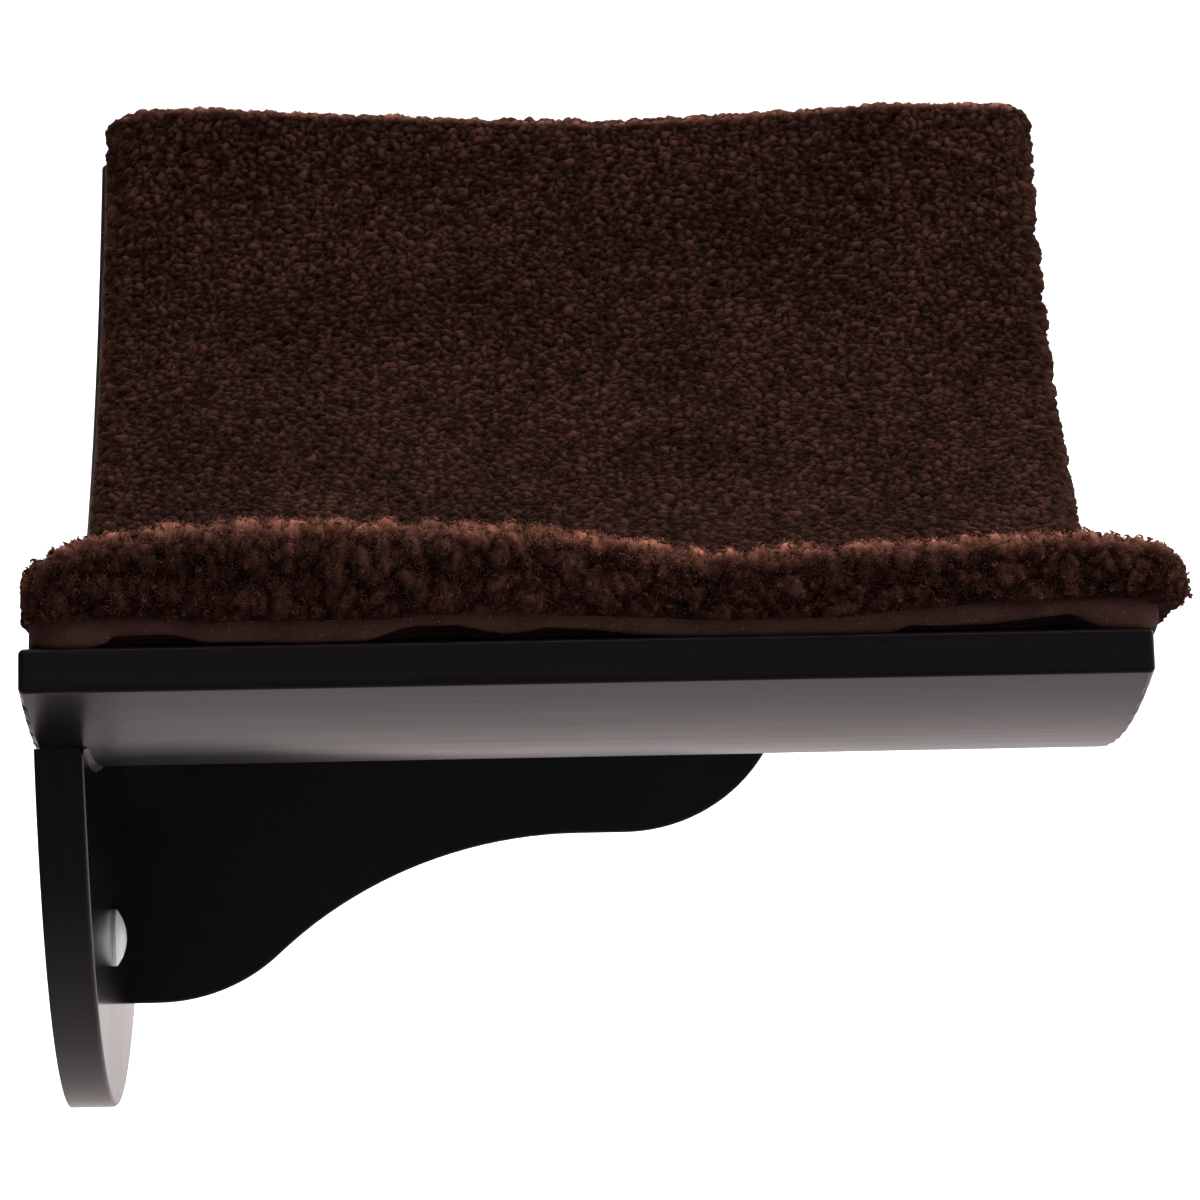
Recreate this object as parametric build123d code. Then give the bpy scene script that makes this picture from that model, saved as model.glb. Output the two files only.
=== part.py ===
from build123d import *
import math
import os

# Cat wall shelf: a bowed board on a half-oval wall plate and a scroll bracket, with a fleece pad.
# Millimetres. X runs along the wall, the wall is the plane Y = 0 and the room is at -Y, Z is up.
# The origin lies on the wall face, midway between the two wall-screw holes.

# Bowed board
shelf_length = 508.0
shelf_depth = 267.0
board_thickness = 11.0
end_rise = 78.0
board_edge_round = 1.5

# Wall plate, with its top edge cut to the board's underside
plate_width = 400.0
plate_drop = 105.0
plate_thickness = 12.0
plate_edge_round = 1.5

# Wall-screw holes in the plate, stepped from the front for the screw head and the cap's stem
wall_screw_spacing = 160.0
wall_screw_drop = 45.0
wall_screw_hole_radius = 2.75
cap_seat_radius = 5.0
cap_seat_depth = 7.0

# White push-in caps
cap_radius = 7.5
cap_dome_height = 2.6
cap_rim_height = 0.8
cap_stem_clearance = 0.08
cap_stem_wall = 1.2
cap_stem_length = 4.0
cap_slot_width = 1.4

# Scroll bracket, square to the plate at its middle
bracket_thickness = 12.0
bracket_reach = 193.0
bracket_heel_height = 91.0
bracket_nose_height = 44.0
bracket_heel_flat = 8.0
bracket_nose_flat = 13.0
bracket_heel_arc_share = 0.29
bracket_edge_round = 1.2

# Glue line where the plate's front meets the underside
seam_bead_size = 1.4
glue_film = 0.05

# Dowels
dowel_radius = 3.0
dowel_length = 24.0
dowel_depth_in_board = 6.0
dowel_depth_in_plate = 7.5
dowel_end_gap = 1.0
dowel_chamfer = 0.8
dowel_flute_radius = 0.4
dowel_flutes = 8
plate_dowel_shares = (-0.75, -0.35, 0.35, 0.75)
bracket_dowel_shares = (0.22, 0.64)
heel_dowel_share = 0.53

# Countersunk assembly screws
screw_shank_radius = 2.0
screw_head_radius = 4.0
screw_head_height = 2.6
screw_length = 40.0
screw_tip_length = 5.0
screw_clearance = 0.1
screw_recess_width = 1.0
screw_recess_depth = 1.6
board_screw_plate_shares = (-0.55, -0.15, 0.15, 0.55)
board_screw_bracket_shares = (0.43, 0.85)
heel_screw_shares = (0.33, 0.82)

# Hook tapes on the board and loop tapes under the pad
tape_width = 25.0
tape_side_inset = 30.0
hook_thickness = 1.2
loop_thickness = 1.0
tape_gap = 0.3
tape_place_shares = {"left_end": -0.81, "left_inner": -0.31, "right_inner": 0.31, "right_end": 0.81}

# Pad: suede backing, foam, a suede side band round them, and the sherpa pile
pad_wall_inset = 1.0
pad_front_overhang = 5.0
pad_end_inset = 1.5
pad_corner_radius = 10.0
ply_gap = 0.1
backing_thickness = 1.5
foam_thickness = 4.0
side_band_thickness = 2.0
pile_height = 12.0
pile_crown = 2.2
pile_side_swell = 3.0
pile_draw_in = 1.2
pile_shoulder_radius = 3.0

# Overrun of every cutter past the face that it leaves through, and how far off a face counts as on it
cut_overrun = 2.0
on_face = 0.05

# Places worked out from the sizes above
half_length = shelf_length / 2
underside_radius = (half_length ** 2 + end_rise ** 2) / (2 * end_rise)
top_radius = underside_radius - board_thickness
end_angle = math.degrees(math.asin(half_length / underside_radius))
trough_z = wall_screw_drop
bow_centre_z = trough_z + underside_radius
plate_half_width = plate_width / 2
plate_half_angle = math.degrees(math.asin(plate_half_width / underside_radius))
plate_top_z = bow_centre_z - underside_radius * math.cos(math.radians(plate_half_angle))
plate_bottom_z = trough_z - plate_drop
bracket_run = bracket_reach - plate_thickness
hook_radius = top_radius - ply_gap
loop_radius = hook_radius - hook_thickness - tape_gap
backing_radius = loop_radius - loop_thickness - ply_gap
foam_radius = backing_radius - backing_thickness - ply_gap
pile_radius = foam_radius - foam_thickness - ply_gap
pile_top_radius = pile_radius - pile_height
pad_front_y = -(shelf_depth + pad_front_overhang)
pad_wall_y = -pad_wall_inset
pad_half_angle = end_angle - math.degrees(pad_end_inset / top_radius)

os.makedirs("parts", exist_ok=True)


def save(name, solids):
    """Write one node: a single solid, or a group of like solids."""
    group = solids if isinstance(solids, list) else [solids]
    pieces = [piece for shape in group for piece in shape.solids()]
    node = pieces[0] if len(pieces) == 1 else Compound(children=pieces)
    node.label = name
    export_step(node, f"parts/{name}.step")


def on_bow(radius, angle_deg):
    """Point of the bow's section, as X and Z, at a radius and an angle from straight down."""
    angle = math.radians(angle_deg)
    return (radius * math.sin(angle), bow_centre_z - radius * math.cos(angle))


def bow_arc(radius, from_deg, to_deg):
    """Arc of the bow's section between two angles."""
    middle = (from_deg + to_deg) / 2
    return ThreePointArc(on_bow(radius, from_deg), on_bow(radius, middle), on_bow(radius, to_deg))


def bow_face(outer_radius, inner_radius, from_deg, to_deg):
    """Section of a bowed sheet with square ends, drawn in X and Z."""
    outline = [
        bow_arc(outer_radius, from_deg, to_deg),
        Line(on_bow(outer_radius, to_deg), on_bow(inner_radius, to_deg)),
        bow_arc(inner_radius, to_deg, from_deg),
        Line(on_bow(inner_radius, from_deg), on_bow(outer_radius, from_deg)),
    ]
    return make_face(outline)


def across(face, wall_y, front_y):
    """Run a section drawn in X and Z from one depth to another, out from the wall."""
    return Pos(0, wall_y, 0) * extrude(Plane.XZ * face, amount=wall_y - front_y)


def bow_sheet(outer_radius, inner_radius, from_deg, to_deg, wall_y, front_y):
    """Bowed sheet between two radii, two angles and two depths."""
    return across(bow_face(outer_radius, inner_radius, from_deg, to_deg), wall_y, front_y)


def seat_on_bow(radius, angle_deg, y):
    """Place on the bow whose own Z points in towards the bow's centre."""
    x, z = on_bow(radius, angle_deg)
    return Location((x, y, z), (0, -angle_deg, 0))


def underside_z(x):
    """Height of the board's underside at a distance along the wall."""
    return bow_centre_z - math.sqrt(underside_radius ** 2 - x ** 2)


# Dowels and screws


def dowel():
    """Fluted beech dowel with chamfered ends, along Z, with its lower end at the origin."""
    half = dowel_length / 2
    body = Pos(0, 0, half) * Cylinder(dowel_radius, dowel_length)
    body = chamfer(body.edges().filter_by(GeomType.CIRCLE), dowel_chamfer)
    for number in range(dowel_flutes):
        flute = Pos(dowel_radius, 0, half) * Cylinder(dowel_flute_radius, dowel_length + cut_overrun)
        body -= Rot(0, 0, number * 360 / dowel_flutes) * flute
    return body


def dowel_hole():
    """Hole for a dowel, deeper than it by the same gap at each end."""
    length = dowel_length + 2 * dowel_end_gap
    return Pos(0, 0, dowel_length / 2) * Cylinder(dowel_radius + glue_film, length)


def screw_outline(clearance):
    """Half section of a countersunk screw: radius across, height up, head's face at zero."""
    head = screw_head_radius + clearance
    shank = screw_shank_radius + clearance
    tip_z = -(screw_length + clearance)
    points = [
        (0, 0),
        (head, 0),
        (shank, -screw_head_height),
        (shank, tip_z + screw_tip_length),
        (0, tip_z),
    ]
    return make_face(Polyline(*points, close=True))


def countersunk_screw():
    """Assembly screw along Z, head up, with a cross recess."""
    body = revolve(Plane.XZ * screw_outline(0), Axis.Z)
    slot = Box(2 * screw_shank_radius, screw_recess_width, 2 * screw_recess_depth)
    return body - slot - Rot(0, 0, 90) * slot


def screw_hole():
    """Countersunk hole for the assembly screw, open above its head."""
    bore = revolve(Plane.XZ * screw_outline(screw_clearance), Axis.Z)
    mouth_radius = screw_head_radius + screw_clearance
    return bore + Pos(0, 0, cut_overrun / 2) * Cylinder(mouth_radius, cut_overrun)


def plate_dowel_places():
    """Upright places of the dowels between the plate's top edge and the board."""
    places = []
    for share in plate_dowel_shares:
        x = share * plate_half_width
        bottom = underside_z(x) + dowel_depth_in_board - dowel_length
        places.append(Pos(x, -plate_thickness / 2, bottom))
    return places


def bracket_dowel_places():
    """Upright places of the dowels between the bracket's top edge and the board."""
    bottom = trough_z + dowel_depth_in_board - dowel_length
    return [Pos(0, -plate_thickness - share * bracket_run, bottom) for share in bracket_dowel_shares]


def heel_dowel_place():
    """Level place of the dowel between the plate's front and the bracket's back edge."""
    start_y = -(plate_thickness - dowel_depth_in_plate)
    return Location((0, start_y, trough_z - heel_dowel_share * bracket_heel_height), (90, 0, 0))


def board_to_plate_places():
    """Screws square to the board, from its top face down into the plate's edge."""
    places = []
    for share in board_screw_plate_shares:
        angle = math.degrees(math.asin(share * plate_half_width / underside_radius))
        places.append(seat_on_bow(top_radius, angle, -plate_thickness / 2))
    return places


def board_to_bracket_places():
    """Screws from the board's top face down into the bracket's top edge."""
    return [seat_on_bow(top_radius, 0, -plate_thickness - share * bracket_run)
            for share in board_screw_bracket_shares]


def plate_to_bracket_places():
    """Screws from the plate's wall face out into the bracket's back edge."""
    return [Location((0, 0, trough_z - share * bracket_heel_height), (-90, 0, 0)) for share in heel_screw_shares]


dowel_places = plate_dowel_places() + bracket_dowel_places() + [heel_dowel_place()]
screw_places = board_to_plate_places() + board_to_bracket_places() + plate_to_bracket_places()
fastener_holes = [place * dowel_hole() for place in dowel_places]
fastener_holes += [place * screw_hole() for place in screw_places]


# Board


def shelf_board():
    """Bowed board with eased edges, drilled for the dowels and screws under it."""
    board = bow_sheet(underside_radius, top_radius, -end_angle, end_angle, 0, -shelf_depth)
    board = fillet(board.edges(), board_edge_round)
    return board - fastener_holes


# Wall plate


def plate_outline():
    """Half oval hung from the two points where the plate's sides meet the underside."""
    top = bow_arc(underside_radius, plate_half_angle, -plate_half_angle)
    plate_height = plate_top_z - plate_bottom_z
    oval = EllipticalCenterArc((0, plate_top_z), plate_half_width, plate_height, 180, arc_size=180)
    return make_face([top, oval])


def wall_screw_places():
    """Centres of the two wall-screw holes on the wall face."""
    return [Location((side * wall_screw_spacing / 2, 0, 0), (90, 0, 0)) for side in (-1, 1)]


def wall_screw_hole():
    """Stepped hole along Z, from the wall face out to the plate's front."""
    through_length = plate_thickness + 2 * cut_overrun
    through = Pos(0, 0, plate_thickness / 2) * Cylinder(wall_screw_hole_radius, through_length)
    seat_length = cap_seat_depth + cut_overrun
    seat_z = plate_thickness - cap_seat_depth + seat_length / 2
    return through + Pos(0, 0, seat_z) * Cylinder(cap_seat_radius, seat_length)


def wall_plate():
    """Half-oval plate with its lower front edge eased."""
    plate = across(plate_outline(), 0, -plate_thickness)
    front_edges = plate.edges().filter_by_position(Axis.Y, -plate_thickness, -plate_thickness)
    oval_edges = [edge for edge in front_edges if edge.geom_type == GeomType.ELLIPSE]
    plate = fillet(oval_edges, plate_edge_round)
    plate -= [place * wall_screw_hole() for place in wall_screw_places()]
    return plate - fastener_holes


# Scroll bracket


def bracket_outline():
    """Side view in Y and Z: flat heel, ogee up to a short flat, quarter-round nose."""
    top_z = trough_z
    back_y = -plate_thickness
    heel_z = top_z - bracket_heel_height
    nose_z = top_z - bracket_nose_height
    heel_y = back_y - bracket_heel_flat
    nose_y = -bracket_reach + bracket_nose_height
    ogee_end_y = nose_y + bracket_nose_flat
    run = heel_y - ogee_end_y
    rise = nose_z - heel_z
    sweep = 2 * math.degrees(math.atan2(rise, run))
    radii = run / math.sin(math.radians(sweep))
    heel_radius = bracket_heel_arc_share * radii
    hollow_radius = radii - heel_radius
    over_z = top_z + board_thickness
    lower_edge = [
        Line((back_y, over_z), (back_y, heel_z)),
        Line((back_y, heel_z), (heel_y, heel_z)),
        CenterArc((heel_y, heel_z + heel_radius), heel_radius, 270, -sweep),
        CenterArc((ogee_end_y, nose_z - hollow_radius), hollow_radius, 90 - sweep, sweep),
        Line((ogee_end_y, nose_z), (nose_y, nose_z)),
        CenterArc((nose_y, top_z), bracket_nose_height, 270, -90),
        Line((-bracket_reach, top_z), (-bracket_reach, over_z)),
        Line((-bracket_reach, over_z), (back_y, over_z)),
    ]
    return make_face(lower_edge)


def bracket():
    """Flat scroll bracket, its top edge cut to the underside and its lower edge eased."""
    blank = extrude(Plane.YZ * bracket_outline(), amount=bracket_thickness / 2, both=True)
    eased = []
    for edge in blank.edges():
        middle = edge @ 0.5
        on_side = abs(middle.X) > bracket_thickness / 2 - on_face
        low = middle.Z < trough_z - on_face
        off_plate = middle.Y < -plate_thickness - on_face
        if on_side and low and off_plate:
            eased.append(edge)
    blank = fillet(eased, bracket_edge_round)
    above = bow_sheet(underside_radius, top_radius - board_thickness, -end_angle, end_angle, 0, -shelf_depth)
    return blank - above - fastener_holes


# Glue line


def seam_bead():
    """Small hollow fillet of glue along the plate's front, under the board."""
    y = -plate_thickness - glue_film
    z = trough_z - glue_film
    corner = (y, z)
    out = (y - seam_bead_size, z)
    down = (y, z - seam_bead_size)
    hollow = CenterArc((y - seam_bead_size, z - seam_bead_size), seam_bead_size, 0, 90)
    section = Plane.YZ * make_face([Line(corner, out), Line(corner, down), hollow])
    bow_axis = Axis((0, 0, bow_centre_z), (0, 1, 0))
    gap_angle = math.degrees((bracket_thickness / 2 + glue_film) / underside_radius)
    left = revolve(section, bow_axis, revolution_arc=plate_half_angle - gap_angle).rotate(bow_axis, gap_angle)
    return [left, mirror(left, about=Plane.YZ)]


# Caps


def screw_cap():
    """Domed cap along Z with a hollow, slotted stem below it."""
    rim_z = cap_rim_height
    top_z = cap_rim_height + cap_dome_height
    stem_radius = cap_seat_radius - cap_stem_clearance
    stem_inner = stem_radius - cap_stem_wall
    dome_radius = (cap_radius ** 2 + cap_dome_height ** 2) / (2 * cap_dome_height)
    half_way = math.asin(cap_radius / dome_radius) / 2
    shoulder = (dome_radius * math.sin(half_way), top_z - dome_radius * (1 - math.cos(half_way)))
    outline = [
        Line((0, 0), (cap_radius, 0)),
        Line((cap_radius, 0), (cap_radius, rim_z)),
        ThreePointArc((cap_radius, rim_z), shoulder, (0, top_z)),
        Line((0, top_z), (0, 0)),
    ]
    cap = revolve(Plane.XZ * make_face(outline), Axis.Z)
    stem_place = Pos(0, 0, -cap_stem_length / 2)
    stem = stem_place * (Cylinder(stem_radius, cap_stem_length) - Cylinder(stem_inner, cap_stem_length))
    slot = stem_place * Box(2 * cap_seat_radius, cap_slot_width, cap_stem_length)
    return cap + (stem - slot - Rot(0, 0, 90) * slot)


# Tapes


def tape(radius, thickness, middle_deg):
    """Tape across the shelf, bent to the bow, at an angle from the middle."""
    half = math.degrees(tape_width / 2 / radius)
    wall_y = -tape_side_inset
    front_y = -shelf_depth + tape_side_inset
    return bow_sheet(radius, radius - thickness, middle_deg - half, middle_deg + half, wall_y, front_y)


# Pad


def pad_ply(outer_radius, thickness, inset):
    """Thin ply of the pad with rounded corners, inset from the pad's edge."""
    wall_y = pad_wall_y - inset
    front_y = pad_front_y + inset
    half_angle = pad_half_angle - math.degrees(inset / outer_radius)
    sheet = bow_sheet(outer_radius, outer_radius - thickness, -half_angle, half_angle, wall_y, front_y)
    corners = [edge for edge in sheet.edges() if edge.length < thickness + on_face]
    return fillet(corners, pad_corner_radius - inset)


def side_band():
    """Suede band round the edge of the backing and the foam."""
    height = backing_thickness + ply_gap + foam_thickness
    outer = pad_ply(backing_radius, height, 0)
    inner = pad_ply(backing_radius + cut_overrun, height + 2 * cut_overrun, side_band_thickness)
    return outer - inner


def pile_end_section():
    """Pile seen from the front: its two ends swell and its shoulders are rounded."""
    draw_deg = math.degrees(pile_draw_in / pile_radius)
    swell_deg = math.degrees((pile_side_swell - pile_draw_in) / pile_radius)
    foot_deg = pad_half_angle - draw_deg
    middle_radius = (pile_radius + pile_top_radius) / 2
    crown_radius = pile_top_radius - pile_crown
    right = ThreePointArc(
        on_bow(pile_radius, foot_deg),
        on_bow(middle_radius, foot_deg + swell_deg),
        on_bow(crown_radius, foot_deg - draw_deg),
    )
    left = ThreePointArc(
        on_bow(crown_radius, draw_deg - foot_deg),
        on_bow(middle_radius, -foot_deg - swell_deg),
        on_bow(pile_radius, -foot_deg),
    )
    base = bow_arc(pile_radius, -foot_deg, foot_deg)
    top = bow_arc(crown_radius, foot_deg - draw_deg, draw_deg - foot_deg)
    face = make_face([base, right, top, left])
    shoulders = face.vertices().sort_by(lambda corner: radius_of(corner.X, corner.Y))[:2]
    return fillet(shoulders, pile_shoulder_radius)


def radius_of(x, z):
    """Distance of a point of the bow's section from the bow's centre line."""
    return math.hypot(x, z - bow_centre_z)


def pile_side_section():
    """Pile cut across the shelf, in Y and Z: drawn in at its foot, swollen, and crowned on top."""
    foot_z = bow_centre_z - pile_radius
    top_z = bow_centre_z - pile_top_radius
    middle_z = (foot_z + top_z) / 2
    wall_foot = pad_wall_y - pile_draw_in
    front_foot = pad_front_y + pile_draw_in
    middle_y = (wall_foot + front_foot) / 2
    wall_top = wall_foot - pile_draw_in
    front_top = front_foot + pile_draw_in
    front_swell = front_foot - pile_side_swell
    face = make_face([
        Line((wall_foot, foot_z), (front_foot, foot_z)),
        ThreePointArc((front_foot, foot_z), (front_swell, middle_z), (front_top, top_z)),
        ThreePointArc((front_top, top_z), (middle_y, top_z + pile_crown), (wall_top, top_z)),
        ThreePointArc((wall_top, top_z), (pad_wall_y, middle_z), (wall_foot, foot_z)),
    ])
    shoulders = face.vertices().sort_by(lambda corner: -corner.Y)[:2]
    return fillet(shoulders, pile_shoulder_radius)


def fleece_pile():
    """Sherpa pile as one crowned cushion that follows the bow."""
    bow_axis = Axis((0, 0, bow_centre_z), (0, 1, 0))
    ring = revolve(Plane.YZ * pile_side_section(), bow_axis, revolution_arc=2 * end_angle)
    ring = ring.rotate(bow_axis, -end_angle)
    ends = across(pile_end_section(), pad_wall_y + cut_overrun, pad_front_y - pile_side_swell - cut_overrun)
    depth = pad_wall_y - pad_front_y + pile_side_swell
    half_span = pile_radius * math.sin(math.radians(pad_half_angle))
    plan = Pos(0, pad_wall_y - depth / 2) * RectangleRounded(2 * half_span, depth, pad_corner_radius)
    return ring & ends & extrude(plan, amount=bow_centre_z)


save("shelf_board", shelf_board())
save("wall_plate", wall_plate())
save("bracket", bracket())
save("seam_bead", seam_bead())
save("plate_dowels", [place * dowel() for place in plate_dowel_places()])
save("bracket_dowels", [place * dowel() for place in bracket_dowel_places()])
save("heel_dowel", heel_dowel_place() * dowel())
save("board_to_plate_screws", [place * countersunk_screw() for place in board_to_plate_places()])
save("board_to_bracket_screws", [place * countersunk_screw() for place in board_to_bracket_places()])
save("plate_to_bracket_screws", [place * countersunk_screw() for place in plate_to_bracket_places()])
for side, place in zip(("left", "right"), wall_screw_places()):
    save(f"screw_cap_{side}", place * Pos(0, 0, plate_thickness) * screw_cap())
for where, share in tape_place_shares.items():
    middle_deg = math.degrees(math.asin(share * half_length / underside_radius))
    save(f"hook_strip_{where}", tape(hook_radius, hook_thickness, middle_deg))
    save(f"loop_strip_{where}", tape(loop_radius, loop_thickness, middle_deg))
save("fleece_backing", pad_ply(backing_radius, backing_thickness, side_band_thickness + ply_gap))
save("foam_sheet", pad_ply(foam_radius, foam_thickness, side_band_thickness + ply_gap))
save("side_band", side_band())
save("fleece_pile", fleece_pile())
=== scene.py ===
import math

import bmesh
import bpy
import numpy as np
from mathutils import Matrix, Vector


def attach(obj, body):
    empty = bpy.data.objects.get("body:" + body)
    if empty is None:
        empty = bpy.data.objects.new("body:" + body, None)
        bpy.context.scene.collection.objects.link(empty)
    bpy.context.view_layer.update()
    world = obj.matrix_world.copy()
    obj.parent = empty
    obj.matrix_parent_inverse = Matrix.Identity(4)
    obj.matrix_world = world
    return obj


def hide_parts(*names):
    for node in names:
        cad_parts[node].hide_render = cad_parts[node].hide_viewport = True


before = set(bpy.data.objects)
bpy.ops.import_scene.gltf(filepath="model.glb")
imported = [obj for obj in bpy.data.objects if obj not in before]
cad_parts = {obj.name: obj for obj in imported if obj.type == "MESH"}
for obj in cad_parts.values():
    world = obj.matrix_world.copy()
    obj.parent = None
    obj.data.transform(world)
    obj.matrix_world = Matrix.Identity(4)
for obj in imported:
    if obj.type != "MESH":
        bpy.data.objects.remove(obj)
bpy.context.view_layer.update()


# Camera
# It stands off the shelf's left end, a little in front of the wall and above the board, and looks along
# the wall, so that the near end is seen edge-on and the far half rises behind it.

def in_scene(name, data):
    """New object in the scene."""
    piece = bpy.data.objects.new(name, data)
    bpy.context.scene.collection.objects.link(piece)
    return piece


camera_place = Vector((-1.8061, -0.0975, 0.6129))
camera_yaw = math.radians(-1.427)
camera_pitch = math.radians(-17.176)
camera_roll = math.radians(-0.664)

looking = Vector((
    math.cos(camera_pitch) * math.cos(camera_yaw),
    math.cos(camera_pitch) * math.sin(camera_yaw),
    math.sin(camera_pitch),
))
level_right = looking.cross(Vector((0, 0, 1))).normalized()
level_up = level_right.cross(looking)
rolled_right = level_right * math.cos(camera_roll) + level_up * math.sin(camera_roll)
rolled_up = level_up * math.cos(camera_roll) - level_right * math.sin(camera_roll)
camera_turn = Matrix((rolled_right, rolled_up, -looking)).transposed()

camera = in_scene("camera", bpy.data.cameras.new("camera"))
camera.matrix_world = Matrix.Translation(camera_place) @ camera_turn.to_4x4()
camera.data.sensor_width = 36.0
camera.data.lens = 208.4
camera.data.shift_x = 0.001
camera.data.shift_y = 0.034
camera.data.clip_start = 0.05
bpy.context.scene.camera = camera
bpy.context.scene.view_settings.view_transform = "Standard"


# Studio
# A pale floor well below the shelf, a bright white room behind it that lights it from the back, a soft lamp
# overhead and a weak one in front. The paint's gloss shows the floor white far behind and dark on this side.

def feed(socket, source):
    """Give a socket a constant, or a link from another socket or from a node's first output."""
    if isinstance(source, bpy.types.Node):
        source = source.outputs[0]
    if isinstance(source, bpy.types.NodeSocket):
        socket.id_data.links.new(source, socket)
    else:
        socket.default_value = source


def add_node(nodes, kind, *sources, **settings):
    """One node: the sources feed its first sockets in turn, and a setting names a property or a socket of it."""
    node = nodes.new(kind)
    for name, value in settings.items():
        if hasattr(node, name):
            setattr(node, name, value)
    for socket, source in zip(node.inputs, sources):
        feed(socket, source)
    for name, value in settings.items():
        if not hasattr(node, name):
            feed(node.inputs[name.replace("_", " ")], value)
    return node


def new_material(name):
    """Empty node material: the material, its nodes, and the socket that its shader goes into."""
    material = bpy.data.materials.new(name)
    material.use_nodes = True
    nodes = material.node_tree.nodes
    nodes.clear()
    return material, nodes, nodes.new("ShaderNodeOutputMaterial").inputs["Surface"]


def own_place(nodes):
    """Where a point lies on its piece: Object coordinates."""
    return nodes.new("ShaderNodeTexCoord").outputs["Object"]


def colour_ramp(nodes, share, *stops):
    """Colour for a share, from (place, colour) stops."""
    node = add_node(nodes, "ShaderNodeValToRGB", share)
    ramp = node.color_ramp
    ramp.elements[0].position, ramp.elements[0].color = stops[0][0], (*stops[0][1], 1)
    ramp.elements[1].position, ramp.elements[1].color = stops[-1][0], (*stops[-1][1], 1)
    for place, colour in stops[1:-1]:
        ramp.elements.new(place).color = (*colour, 1)
    return node


floor_height = -0.42
floor_half_width = 6.0
floor_corners = ((-1, -1), (1, -1), (1, 1), (-1, 1))
floor_mesh = bpy.data.meshes.new("studio_floor")
floor_mesh.from_pydata([(x * floor_half_width, y * floor_half_width, floor_height) for x, y in floor_corners],
                       [], [(0, 1, 2, 3)])
floor = in_scene("studio_floor", floor_mesh)
material, nodes, surface = new_material("studio_floor")
rays = nodes.new("ShaderNodeLightPath")
paper = add_node(nodes, "ShaderNodeBsdfDiffuse", Color=(0.8, 0.8, 0.8, 1))
lift = add_node(nodes, "ShaderNodeEmission", Color=(1, 1, 1, 1), Strength=0.45)
nothing = add_node(nodes, "ShaderNodeEmission", Color=(0, 0, 0, 1), Strength=0.0)
lifted = add_node(nodes, "ShaderNodeMixShader", rays.outputs["Is Camera Ray"], nothing, lift)
shown = add_node(nodes, "ShaderNodeAddShader", paper, lifted)
place = add_node(nodes, "ShaderNodeSeparateXYZ", own_place(nodes))
along = add_node(nodes, "ShaderNodeMapRange", place.outputs["X"], From_Min=-2.0, From_Max=3.0)
in_gloss = colour_ramp(
    nodes, along, (0.0, (0.03, 0.03, 0.034)), (0.30, (0.05, 0.048, 0.054)), (0.40, (0.34, 0.30, 0.305)),
    (0.50, (0.52, 0.45, 0.445)), (0.60, (0.84, 0.76, 0.76)), (0.67, (1.0, 0.96, 0.97)))
mirrored = add_node(nodes, "ShaderNodeEmission", in_gloss, Strength=1.0)
feed(surface, add_node(nodes, "ShaderNodeMixShader", rays.outputs["Is Glossy Ray"], shown, mirrored))
floor_mesh.materials.append(material)

world = bpy.data.worlds.new("studio")
world.use_nodes = True
bpy.context.scene.world = world
nodes = world.node_tree.nodes
nodes.clear()
way = add_node(nodes, "ShaderNodeSeparateXYZ", nodes.new("ShaderNodeTexCoord").outputs["Generated"])
along = add_node(nodes, "ShaderNodeMapRange", way.outputs["X"], From_Min=-1.0, From_Max=1.0)
room = colour_ramp(nodes, along, (0.0, (0.03, 0.03, 0.032)), (0.42, (0.08, 0.08, 0.084)), (0.75, (0.75, 0.74, 0.74)),
                   (1.0, (1.15, 1.15, 1.15)))
off_wall = add_node(nodes, "ShaderNodeMapRange", way.outputs["Y"], From_Min=0.12, From_Max=0.5, To_Min=1.0, To_Max=0.12)
room_light = add_node(nodes, "ShaderNodeBackground", Color=room, Strength=off_wall)
backdrop = add_node(nodes, "ShaderNodeBackground", Color=(1, 1, 1, 1), Strength=1.0)
by_camera = nodes.new("ShaderNodeLightPath").outputs["Is Camera Ray"]
seen = add_node(nodes, "ShaderNodeMixShader", by_camera, room_light, backdrop)
add_node(nodes, "ShaderNodeOutputWorld", Surface=seen)

lamps = {
    "overhead": ((-0.15, -0.2, 1.6), (0.0, -0.13, 0.1), 1.3, 13.0),
    "back_light": ((2.2, -0.3, 1.2), (0.0, -0.13, 0.1), 1.6, 44.0),
    "front_fill": ((-0.5, -1.9, 0.6), (0.0, -0.05, 0.0), 1.2, 21.0),
    "end_fill": ((-1.9, 0.1, 0.5), (0.0, -0.13, 0.05), 1.0, 6.0),
    "floor_wash": ((1.6, -0.3, 1.3), (1.9, -0.3, -0.4), 3.0, 40.0),
}
for name, (place, target, width, power) in lamps.items():
    lamp = in_scene(name, bpy.data.lights.new(name, "AREA"))
    lamp.data.size = width
    lamp.data.energy = power
    lamp.location = place
    lamp.rotation_euler = (Vector(target) - Vector(place)).to_track_quat("-Z", "Y").to_euler()
    lamp.visible_glossy = False


# Bowed board
# One bowed sheet of moulded fibreboard, 11 mm thick, sprayed with a satin espresso paint. Its square ends
# show the sheet's layers as faint level streaks through the paint.

def maths(nodes, operation, *sources):
    """One step of arithmetic on numbers that change over the surface."""
    return add_node(nodes, "ShaderNodeMath", *sources, operation=operation)


def blended(nodes, share, under, over):
    """Colour that passes from one to the other by a share."""
    mix = add_node(nodes, "ShaderNodeMix", share, data_type="RGBA")
    feed(mix.inputs[6], under)
    feed(mix.inputs[7], over)
    return mix.outputs[2]


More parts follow.
